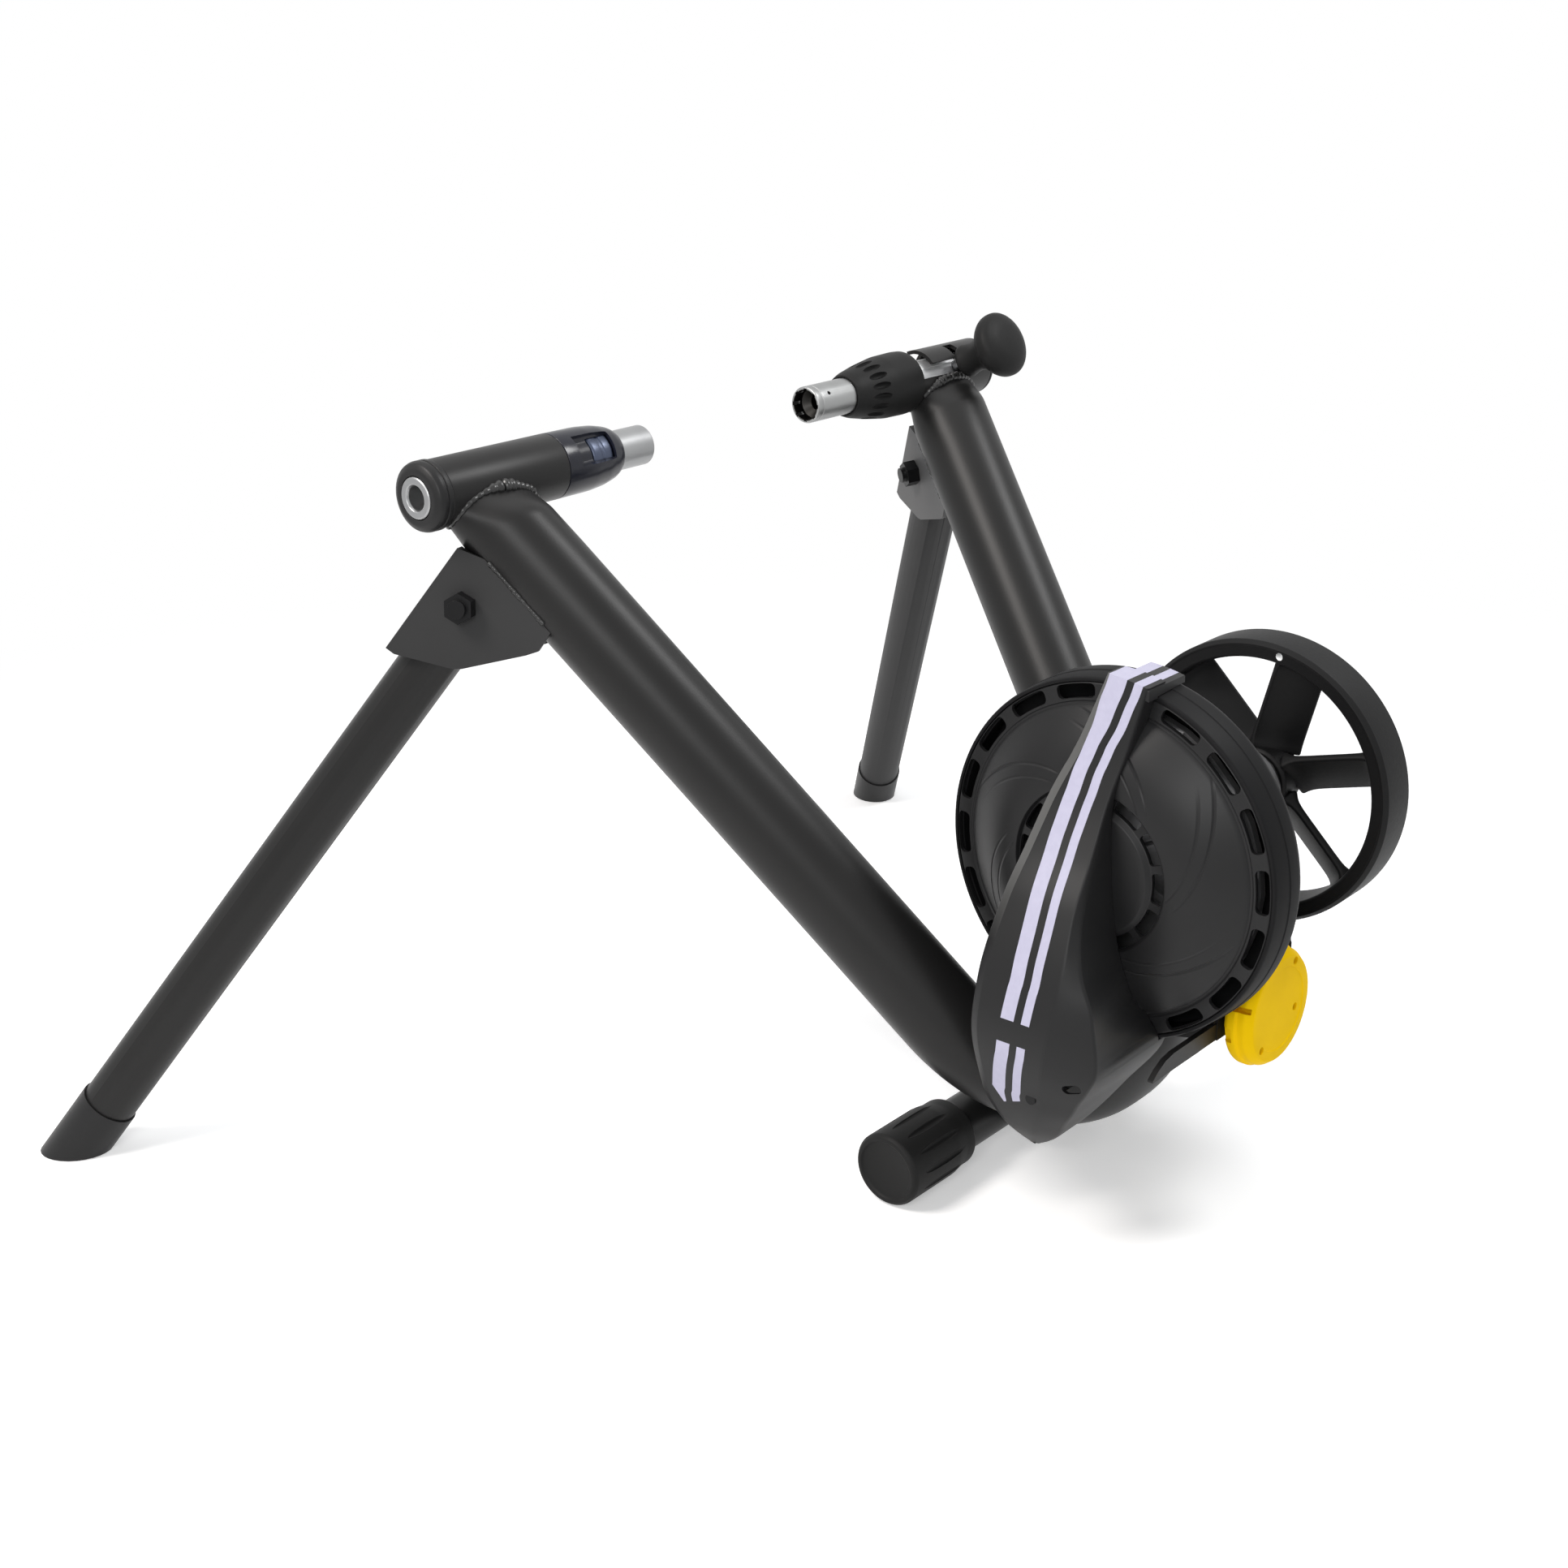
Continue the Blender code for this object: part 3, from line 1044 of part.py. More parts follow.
def make_front_cover():
    rings = cover_profile()
    bm, bands = spun_sheet(rings, VENT_STEPS, VENT_PHASE)
    vent_band = next(k for k, (r, _) in enumerate(rings) if abs(r - 95.4 * MM) < 1e-6)
    hub_band = next(k for k, (r, _) in enumerate(rings) if abs(r - 44.4 * MM) < 1e-6)
    open_faces = []
    per_vent = VENT_STEPS // VENT_COUNT
    per_hub_vent = VENT_STEPS // HUB_VENT_COUNT
    for k in range(VENT_STEPS):
        if k % per_vent != 0:
            open_faces.append(bands[vent_band][k])
        if k % per_hub_vent != 0:
            open_faces.append(bands[hub_band][k])
    bmesh.ops.delete(bm, geom=open_faces, context="FACES")
    bmesh.ops.recalc_face_normals(bm, faces=bm.faces)
    if sum((f.normal.x for f in bm.faces)) > 0.0:
        bmesh.ops.reverse_faces(bm, faces=bm.faces)
    mesh = bpy.data.meshes.new("drum_front_cover")
    bm.to_mesh(mesh)
    bm.free()
    mesh.shade_smooth()
    mesh.set_sharp_from_angle(angle=math.radians(30.0))
    cover = new_object("drum_front_cover", mesh)
    wall = cover.modifiers.new("sheet", "SOLIDIFY")
    wall.thickness = COVER_SHEET
    wall.offset = -1.0
    return keep(cover, BLACK_PLASTIC, unit_pivot)


make_front_cover()


def make_pan():
    back = DRUM_FAR + DRUM_BACK
    near_inner = DRUM_RADIUS_NEAR - DRUM_WALL
    far_inner = DRUM_RADIUS_FAR - DRUM_WALL
    ledge = DRUM_NEAR + 1.0 * MM + COVER_SHEET + GAP
    pan = turned("drum_pan", [(near_inner, DRUM_NEAR), (DRUM_RADIUS_NEAR - 0.6 * MM, DRUM_NEAR),
                              (DRUM_RADIUS_FAR, DRUM_FAR - 2 * MM), (DRUM_RADIUS_FAR - 2 * MM, back),
                              (21 * MM, back), (21 * MM, DRUM_FAR), (far_inner, DRUM_FAR),
                              (near_inner - 1.8 * MM, ledge), (near_inner, ledge)], HUB_LINE, 72)
    inlet_hole = x_rod("inlet_hole", DRUM_FAR - 2 * MM, back + 2 * MM, inlet_centre(), 4.6 * MM, 20)
    cut(pan, inlet_hole)
    return keep(pan, BLACK_PLASTIC, unit_pivot)


def inlet_centre():
    a = math.radians(205.0)
    return Vector((0.0, HUB.y + 76 * MM * math.cos(a), HUB.z + 76 * MM * math.sin(a)))


make_pan()


def make_inlet():
    """Round power socket on the drum's back, open to the right."""
    back = DRUM_FAR + DRUM_BACK + GAP
    outline = [(2.6 * MM, back + 5 * MM), (5.4 * MM, back + 5 * MM), (6.6 * MM, back + 4 * MM),
               (6.6 * MM, back),
               (4.3 * MM, back), (4.3 * MM, back - 6 * MM), (0.0, back - 6 * MM), (0.0, back - 4 * MM),
               (2.6 * MM, back - 4 * MM)]
    inlet = turned("power_inlet", outline, inlet_centre(), 24)
    return keep(inlet, BLACK_PLASTIC, unit_pivot)


make_inlet()


def make_coils():
    """Steel ring with eight round coils, fixed inside the pan's back."""
    back = DRUM_FAR - GAP
    ring = turned("coil_ring", [(42 * MM, back - 1.6 * MM), (66 * MM, back - 1.6 * MM), (66 * MM, back),
                                (42 * MM, back)],
                  HUB_LINE, 40)
    keep(ring, STEEL, unit_pivot)
    bm = bmesh.new()
    for k in range(6):
        a = 2.0 * math.pi * (k + 0.5) / 6
        coil = bmesh.ops.create_cone(bm, cap_ends=True, segments=12, radius1=10.5 * MM, radius2=10.5 * MM,
                                     depth=6.2 * MM)["verts"]
        bmesh.ops.rotate(bm, cent=(0, 0, 0), matrix=Matrix.Rotation(math.pi / 2, 3, "Y"), verts=coil)
        middle = (back - 1.6 * MM - GAP - 3.1 * MM, HUB.y + 54 * MM * math.cos(a),
                  HUB.z + 54 * MM * math.sin(a))
        bmesh.ops.translate(bm, vec=middle, verts=coil)
    coils = from_bmesh("brake_coils", bm)
    carrier = turned("coil_carrier", [(50 * MM, back - 3.9 * MM), (58 * MM, back - 3.9 * MM),
                                      (58 * MM, back - 1.6 * MM - GAP), (50 * MM, back - 1.6 * MM - GAP)],
                     HUB_LINE, 28)
    join(coils, carrier)
    keep(coils, COPPER, unit_pivot)


make_coils()

# Cover arm: hollow moulding over the drum's left side, open towards the drum

ARM_FRONT = ((330, -325.5), (288, -311), (250, -298), (200, -291), (160, -288.5), (122, -288.5), (98, -295),
             (78, -307), (62, -314))
ARM_OUT = ((330, -71.5), (288, -77), (260, -86), (231, -100), (207, -115), (167, -132), (140, -137),
           (99, -126),
           (76, -116), (62, -106))
ARM_CREASE = ((330, -348), (288, -339), (250, -334), (207, -335.5), (167, -340), (140, -343), (124, -345),
              (98, -329), (78, -318), (62, -315))
ARM_REAR = ((330, -349), (288, -340), (250, -334.5), (207, -337), (178, -346), (160, -355), (124, -357),
            (98, -338), (78, -324), (62, -315.5))
ARM_REAR_X = ((330, -70), (288, -74), (250, -84), (207, -108), (178, -122), (124, -122), (98, -116),
              (78, -110),
              (62, -104))
ARM_EDGE = ((330, -349), (288, -340), (250, -333.5), (207, -336), (150, -342), (136, -348), (124, -356),
            (98, -338), (78, -324), (62, -315.5))
ARM_INNER_X = ((330, -56), (128, -56), (110, -63.6), (62, -98))
ARM_LEVELS = (330, 288, 260, 231, 207, 186, 167, 150, 136, 124, 110, 98, 78, 62)


def along(points, z):
    """Smooth curve through (z, value) points that never overshoots them."""
    rows = sorted(points)
    slopes = [(b[1] - a[1]) / (b[0] - a[0]) for a, b in zip(rows, rows[1:])]
    tangents = [slopes[0]]
    for before, after in zip(slopes, slopes[1:]):
        tangents.append(0.0 if before * after <= 0.0 else 2.0 * before * after / (before + after))
    tangents.append(slopes[-1])
    for k, (a, b) in enumerate(zip(rows, rows[1:])):
        if a[0] <= z <= b[0]:
            h = b[0] - a[0]
            t = (z - a[0]) / h
            return ((1 + 2 * t) * (1 - t) ** 2 * a[1] + t * (1 - t) ** 2 * h * tangents[k]
                    + t * t * (3 - 2 * t) * b[1] + t * t * (t - 1) * h * tangents[k + 1])
    raise ValueError("level outside the curve")


def arm_section(z, inset):
    """Corners of the arm at one height, from the front inner edge round to the rear inner edge."""
    open_side = 8.0 if inset else 0.0
    out = along(ARM_OUT, z) + inset
    front = along(ARM_FRONT, z) - inset
    crease = along(ARM_CREASE, z) + inset * 0.6
    rear = along(ARM_REAR, z) + inset
    rear_x = along(ARM_REAR_X, z) + inset * 0.4
    edge = along(ARM_EDGE, z) + inset
    inner = along(ARM_INNER_X, z) + open_side
    return [(inner, front), (out, front), (out, crease), (rear_x, rear), (inner, edge)]


def arm_solid(name, inset, levels):
    bm = bmesh.new()
    rings = []
    for z in levels:
        rings.append([bm.verts.new((x * MM, y * MM, z * MM)) for x, y in arm_section(z, inset)])
    for first, second in zip(rings, rings[1:]):
        for k in range(5):
            bm.faces.new((first[k], first[(k + 1) % 5], second[(k + 1) % 5], second[k]))
    bm.faces.new(rings[0])
    bm.faces.new(rings[-1][::-1])
    bmesh.ops.recalc_face_normals(bm, faces=bm.faces)
    bmesh.ops.triangulate(bm, faces=bm.faces)
    return from_bmesh(name, bm, 20.0)


def drum_room():
    """Space that the drum takes beside the arm: the cover's skin and the pan's rim, with a gap."""
    gap = 0.5 * MM
    outline = [(0.0, DRUM_FAR + 30 * MM)]
    outline.append((DRUM_RADIUS_FAR + gap, DRUM_FAR + 30 * MM))
    outline.append((DRUM_RADIUS_FAR + gap, DRUM_FAR - 2 * MM))
    outline.append((DRUM_RADIUS_NEAR + gap, DRUM_NEAR - gap))
    for radius, x in cover_profile():
        if radius not in (COVER_RADIUS, 44.4 * MM, 37.0 * MM):
            outline.append((radius, x - gap))
    outline.append((0.0, cover_profile()[-1][1] - gap))
    return turned("drum_room", outline, HUB_LINE, 72)


def make_arm():
    arm = arm_solid("cover_arm", 0.0, ARM_LEVELS)
    hollow = arm_solid("arm_hollow", ARM_WALL / MM, (294, 260, 231, 207, 186, 167, 150, 136, 124, 98, 84))
    lid = turned("arm_lid", [(DRUM_RADIUS_FAR + 5.2 * MM, -120 * MM), (160 * MM, -120 * MM),
                             (160 * MM, -20 * MM),
                             (DRUM_RADIUS_FAR + 5.2 * MM, -20 * MM)], HUB_LINE, 72)
    low_room = box("lid_low_room", (-200 * MM, -460 * MM, -10 * MM), (0.0, -180 * MM, HUB.z + 60 * MM))
    cut(lid, low_room)
    strap = turned("arm_strap", [(DRUM_RADIUS_FAR - 1.5 * MM, -72 * MM),
                                 (DRUM_RADIUS_FAR + 4.2 * MM, -72 * MM),
                                 (DRUM_RADIUS_FAR + 4.2 * MM, -38 * MM),
                                 (DRUM_RADIUS_FAR - 1.5 * MM, -38 * MM)],
                   HUB_LINE, 72)
    strap_box = box("strap_box", (-90 * MM, -347 * MM, HUB.z + 60 * MM),
                    (-20 * MM, -327 * MM, HUB.z + 130 * MM))
    combine(strap, strap_box, "INTERSECT")
    screw_hole = rod("arm_screw_hole", arm_screw_seat(-6 * MM), arm_screw_seat(20 * MM), 3.4 * MM, 16)
    cut(arm, lid)
    join(arm, strap)
    cut(arm, hollow, drum_room(), screw_hole)
    return keep(arm, BLACK_PLASTIC, unit_pivot)


make_arm()


def make_circuit_board():
    """Control board standing in the arm's bulge, beside the drum."""
    x = -100 * MM
    board = box("circuit_board", (x - 0.8 * MM, -328 * MM, 128 * MM), (x + 0.8 * MM, -292.9 * MM, 186 * MM))
    chip = box("board_chip", (x - 3.4 * MM, -322 * MM, 150 * MM), (x, -306 * MM, 166 * MM))
    part = box("board_coil", (x - 7 * MM, -320 * MM, 170 * MM), (x, -308 * MM, 181 * MM))
    plug = box("board_plug", (x, -322 * MM, 132 * MM), (x + 6 * MM, -306 * MM, 139 * MM))
    join(board, chip, part, plug)
    return keep(board, BOARD, unit_pivot)


make_circuit_board()

# Clutch knob and tension bolt


def make_knob():
    """Yellow clutch knob: low skirt, bevelled face with three holes, two side slots, a blind bore."""
    start = TAIL_Y - TAIL_THICK - KNOB_GAP
    seat = Vector((0.0, start, ANCHOR.z))
    outline = [(5.0 * MM, 0.0), (26 * MM, 0.0), (33.6 * MM, 3.0 * MM), (34.4 * MM, 5.0 * MM),
               (34.4 * MM, 9.0 * MM),
               (KNOB_RADIUS, 10.0 * MM), (KNOB_RADIUS, 13.5 * MM), (29.5 * MM, KNOB_THICK), (0.0, KNOB_THICK),
               (0.0, KNOB_THICK - 2.4 * MM), (5.0 * MM, KNOB_THICK - 2.4 * MM)]
    knob = turned("clutch_knob", outline, seat, 36, (0.0, -1.0, 0.0))
    marks = bmesh.new()
    face = start - KNOB_THICK
    for degrees, radius in KNOB_HOLES:
        a = math.radians(degrees)
        hole = bmesh.ops.create_cone(marks, cap_ends=True, segments=12, radius1=KNOB_HOLE_RADIUS,
                                     radius2=KNOB_HOLE_RADIUS, depth=8 * MM)["verts"]
        bmesh.ops.rotate(marks, cent=(0, 0, 0), matrix=Matrix.Rotation(math.pi / 2, 3, "X"), verts=hole)
        bmesh.ops.translate(marks, vec=(radius * math.cos(a), face, ANCHOR.z + radius * math.sin(a)),
                            verts=hole)
    for degrees in KNOB_SLOTS:
        slot = bmesh.ops.create_cube(marks, size=1.0)["verts"]
        bmesh.ops.scale(marks, vec=(8 * MM, 3 * MM, 10 * MM), verts=slot)
        bmesh.ops.translate(marks, vec=(KNOB_RADIUS, 0.0, 0.0), verts=slot)
        bmesh.ops.rotate(marks, cent=(0, 0, 0), matrix=Matrix.Rotation(math.radians(-degrees), 3, "Y"),
                         verts=slot)
        bmesh.ops.translate(marks, vec=(0.0, face + 7.6 * MM, ANCHOR.z), verts=slot)
    cut(knob, from_bmesh("knob_marks", marks))
    return keep(knob, YELLOW, knob_axis)


make_knob()


def make_tension_bolt():
    eye = x_rod("tension_bolt", -6 * MM, 6 * MM, ANCHOR, 9 * MM, 24)
    end = TAIL_Y - TAIL_THICK - KNOB_GAP - 10.5 * MM
    shank = rod("bolt_shank", ANCHOR + Vector((0, -6 * MM, 0)), (0, end, ANCHOR.z), BOLT_RADIUS, 24)
    hole = x_rod("bolt_eye", -9 * MM, 9 * MM, ANCHOR, ANCHOR_PIN_RADIUS + GAP, 24)
    join(eye, shank)
    cut(eye, hole)
    return keep(eye, ZINC, bolt_anchor)


make_tension_bolt()


def make_spacers():
    """Two tube spacers that keep the bolt's eye in the middle of the anchor pin."""
    ring = [(ANCHOR_PIN_RADIUS + GAP, 6 * MM + GAP), (7 * MM, 6 * MM + GAP), (7 * MM, PLATE_INNER - GAP),
            (ANCHOR_PIN_RADIUS + GAP, PLATE_INNER - GAP)]
    for word, way in (("left", -1), ("right", 1)):
        keep(turned(f"anchor_spacer_{word}", ring, ANCHOR, 24, (way, 0, 0)), ZINC, stand)


make_spacers()


def make_arm_screw():
    seat = arm_screw_seat(0.0)
    screw = rod("arm_screw", seat + Vector((2 * MM, 0, 0)), seat + Vector((16.6 * MM, 0, 0)), 2.0 * MM, 14)
    head = rod("arm_screw_head", seat + Vector((0.5 * MM, 0, 0)), seat + Vector((2.8 * MM, 0, 0)),
               3.1 * MM, 18)
    join(screw, head)
    return keep(screw, BLACK_STEEL, unit_pivot)


make_arm_screw()
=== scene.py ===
# %% [markdown]
# # A wheel-on smart trainer
#
# The stand holds a bicycle's rear axle between two pins, and a drum-shaped resistance unit presses its
# roller on the tyre. The CAD model is already packed, with its joints. This lesson gives it its looks:
# some of its pieces only get a finish, and the ones that the eye goes to are modelled again, finer.

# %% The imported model
import json
import math
import bmesh
import bpy
from mathutils import Matrix, Vector
from mathutils.bvhtree import BVHTree


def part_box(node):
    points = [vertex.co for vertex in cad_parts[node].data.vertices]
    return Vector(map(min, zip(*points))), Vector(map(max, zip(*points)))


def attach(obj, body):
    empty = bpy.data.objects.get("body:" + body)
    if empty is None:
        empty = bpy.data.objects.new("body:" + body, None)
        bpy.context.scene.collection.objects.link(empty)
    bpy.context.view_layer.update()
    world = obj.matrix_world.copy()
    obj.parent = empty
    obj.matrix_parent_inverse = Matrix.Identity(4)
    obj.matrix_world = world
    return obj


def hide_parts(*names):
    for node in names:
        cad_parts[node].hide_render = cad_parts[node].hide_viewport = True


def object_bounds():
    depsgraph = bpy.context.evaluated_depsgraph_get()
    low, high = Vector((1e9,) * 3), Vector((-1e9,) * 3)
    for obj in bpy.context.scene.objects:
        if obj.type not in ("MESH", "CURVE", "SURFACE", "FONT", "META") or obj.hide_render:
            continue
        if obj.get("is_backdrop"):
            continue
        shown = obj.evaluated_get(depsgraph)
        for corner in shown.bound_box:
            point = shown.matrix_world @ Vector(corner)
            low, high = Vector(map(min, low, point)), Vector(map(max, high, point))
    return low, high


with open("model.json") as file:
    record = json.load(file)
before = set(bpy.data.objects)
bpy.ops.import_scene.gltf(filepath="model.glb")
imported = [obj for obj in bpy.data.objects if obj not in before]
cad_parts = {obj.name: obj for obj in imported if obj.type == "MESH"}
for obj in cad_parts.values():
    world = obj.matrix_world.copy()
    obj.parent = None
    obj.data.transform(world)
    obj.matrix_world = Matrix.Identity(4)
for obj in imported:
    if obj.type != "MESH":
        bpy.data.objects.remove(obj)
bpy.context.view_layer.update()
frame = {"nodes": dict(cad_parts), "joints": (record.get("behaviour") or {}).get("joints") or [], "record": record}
MM = 0.001

# %% [markdown]
# The joints' own points are the best places to measure from. If the CAD ever changes, every piece that
# starts at one of them moves along with it.

# %% Places to measure from
joint_points = {j["name"]: Vector(j["pos_m"]) for j in frame["joints"] if "pos_m" in j}
HUB = joint_points["rotor_spin"]
AXLE = Vector((0.0, joint_points["handle_turn"].y, joint_points["handle_turn"].z))
HANDLE = joint_points["handle_turn"]
KNOB_SEAT = joint_points["knob_turn"]
print("hub", tuple(round(v, 4) for v in HUB), "axle", tuple(round(v, 4) for v in AXLE))

# %% [markdown]
# The camera stands at the left rear of the trainer, above the axle, and looks down at it. Its place and
# lens were worked out from straight edges and ellipses of the photo, so they are plain numbers here.

# %% Camera
CAMERA_PLACE = Vector((-0.98422, -0.79597, 0.66747))
CAMERA_YAW, CAMERA_PITCH, CAMERA_ROLL = (math.radians(a) for a in (-48.88, -20.65, -0.81))
CAMERA_LENS = 51.12

look = Vector((-math.sin(CAMERA_YAW) * math.cos(CAMERA_PITCH),
               math.cos(CAMERA_YAW) * math.cos(CAMERA_PITCH), math.sin(CAMERA_PITCH)))
level = Vector((math.cos(CAMERA_YAW), math.sin(CAMERA_YAW), 0.0))
above = level.cross(look)
right = level * math.cos(CAMERA_ROLL) + above * math.sin(CAMERA_ROLL)
upward = above * math.cos(CAMERA_ROLL) - level * math.sin(CAMERA_ROLL)

camera_data = bpy.data.cameras.new("camera")
camera_data.lens = CAMERA_LENS
camera_data.sensor_width = 36.0
camera_data.clip_end = 30.0
camera = bpy.data.objects.new("camera", camera_data)
camera.matrix_world = Matrix.Translation(CAMERA_PLACE) @ Matrix((right, upward, -look)).transposed().to_4x4()
bpy.context.scene.collection.objects.link(camera)
bpy.context.scene.camera = camera
bpy.context.scene.view_settings.view_transform = "Standard"

# %% [markdown]
# Black objects are seen by what they reflect. A round tube turns the band of light that a lamp leaves on
# it back into a direction, so the bands in the photo tell where its lamps stood: one to the right and
# behind, one high on the left, and one beside the camera. A broad lamp overhead and the world give the
# rest an even level.

# %% Lamps


def soft_lamp(name, place, target, width, height, watts, colour=(1.0, 1.0, 1.0)):
    lamp = bpy.data.lights.new(name, "AREA")
    lamp.color = colour
    lamp.shape = "RECTANGLE"
    lamp.size = width
    lamp.size_y = height
    lamp.energy = watts
    obj = bpy.data.objects.new(name, lamp)
    aim = (Vector(target) - Vector(place)).to_track_quat("-Z", "Y")
    obj.matrix_world = Matrix.Translation(place) @ aim.to_matrix().to_4x4()
    obj.visible_camera = False
    bpy.context.scene.collection.objects.link(obj)


CENTRE = (0.0, 0.0, 0.2)
soft_lamp("lamp_above", (0.1, 0.5, 2.6), CENTRE, 1.8, 1.8, 9.0)
soft_lamp("lamp_right", (0.62, -0.66, 1.42), CENTRE, 0.42, 0.42, 10.0)
soft_lamp("lamp_left", (-1.05, 0.36, 1.38), CENTRE, 0.5, 0.5, 17.0, (1.0, 0.955, 0.92))
soft_lamp("lamp_camera", (-1.5, -0.85, 1.0), CENTRE, 0.55, 0.55, 10.0)

# %% [markdown]
# The photo's ground is plain white. The world and the floor look white to the camera and in
# reflections, through Light Path, while the light that they really give stays at a calm level. Near
# the trainer the floor is a real surface that takes its shadow, lifted by a glow of its own so that
# only the shadow falls below white. Further out, where its far half would fade to grey, a soft round
# mask turns it into even white.

# %% World and floor
FLOOR_LIFT, FLOOR_RADIUS, FLOOR_DROP = 0.36, 14.0, 0.0005
SHADOW_REACH, WHITE_FROM = 0.62, 1.25
CALM_COLOUR, CALM_LEVEL = (0.92, 0.94, 0.97, 1.0), 0.32
FLOOR_GREY, WHITE = (0.93, 0.93, 0.93, 1.0), (1.0, 1.0, 1.0, 1.0)


def tuned(node, **values):
    """Set a node's inputs by name, with an underscore for each space."""
    for name, value in values.items():
        node.inputs[name.replace("_", " ")].default_value = value
    return node


def seen_by_the_eye(tree):
    """1 for rays that the camera sees, straight or in a reflection, and 0 for the light itself."""
    path = tree.nodes.new("ShaderNodeLightPath")
    total = path.outputs["Is Camera Ray"]
    for word in ("Is Glossy Ray", "Is Transmission Ray"):
        larger = tree.nodes.new("ShaderNodeMath")
        larger.operation = "MAXIMUM"
        tree.links.new(total, larger.inputs[0])
        tree.links.new(path.outputs[word], larger.inputs[1])
        total = larger.outputs[0]
    return total


def mixed(tree, share, first, second, target=None):
    mix = tree.nodes.new("ShaderNodeMixShader")
    for place, source in enumerate((share, first, second)):
        tree.links.new(source, mix.inputs[place])
    if target:
        tree.links.new(mix.outputs[0], target)
    return mix.outputs[0]


world = bpy.data.worlds.new("studio")
world.use_nodes = True
bpy.context.scene.world = world
sky = world.node_tree
calm = tuned(sky.nodes["Background"], Color=CALM_COLOUR, Strength=CALM_LEVEL)
white = tuned(sky.nodes.new("ShaderNodeBackground"), Color=WHITE, Strength=1.0)
mixed(sky, seen_by_the_eye(sky), calm.outputs[0], white.outputs[0],
      sky.nodes["World Output"].inputs["Surface"])

bpy.ops.mesh.primitive_circle_add(vertices=96, radius=FLOOR_RADIUS, fill_type="NGON",
                                  location=(0.0, 0.0, -FLOOR_DROP))
floor = bpy.context.object
floor.name = "floor"
floor_paint = bpy.data.materials.new("floor_paint")
floor_paint.use_nodes = True
ground = floor_paint.node_tree
plain = ground.nodes["Principled BSDF"]
lifted = ground.nodes.new("ShaderNodeBsdfPrincipled")
for shader in (plain, lifted):
    tuned(shader, Base_Color=FLOOR_GREY, Roughness=0.9, Specular_IOR_Level=0.1)
tuned(lifted, Emission_Color=WHITE, Emission_Strength=FLOOR_LIFT)
even = tuned(ground.nodes.new("ShaderNodeEmission"), Color=WHITE)
where = ground.nodes.new("ShaderNodeTexCoord")
distance = ground.nodes.new("ShaderNodeVectorMath")
distance.operation = "LENGTH"
ground.links.new(where.outputs["Object"], distance.inputs[0])
far = tuned(ground.nodes.new("ShaderNodeMapRange"), From_Min=SHADOW_REACH, From_Max=WHITE_FROM)
far.interpolation_type = "SMOOTHSTEP"
ground.links.new(distance.outputs["Value"], far.inputs["Value"])
eye_floor = mixed(ground, far.outputs["Result"], lifted.outputs[0], even.outputs[0])
mixed(ground, seen_by_the_eye(ground), plain.outputs[0], eye_floor,
      ground.nodes["Material Output"].inputs["Surface"])
floor.data.materials.append(floor_paint)
floor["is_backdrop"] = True

# %% [markdown]
# A finish is a Principled shader whose inputs are fed by patterns. Writing node trees by hand is slow
# to read, so a small class wraps a socket and adds Math nodes when it takes part in a sum. Every node
# comes from one method of the finish.

# %% Shader sums


class Wire:
    """A shader socket that can be added, subtracted, multiplied and compared like a number."""

    def __init__(self, finish, socket):
        self.finish = finish
        self.socket = socket

    def __add__(self, other):
        return self.finish.maths("ADD", self, other)

    __radd__ = __add__

    def __sub__(self, other):
        return self.finish.maths("SUBTRACT", self, other)

    def __rsub__(self, other):
        return self.finish.maths("SUBTRACT", other, self)

    def __mul__(self, other):
        return self.finish.maths("MULTIPLY", self, other)

    __rmul__ = __mul__

    def above(self, edge):
        return self.finish.maths("GREATER_THAN", self, edge)

    def below(self, edge):
        return self.finish.maths("LESS_THAN", self, edge)


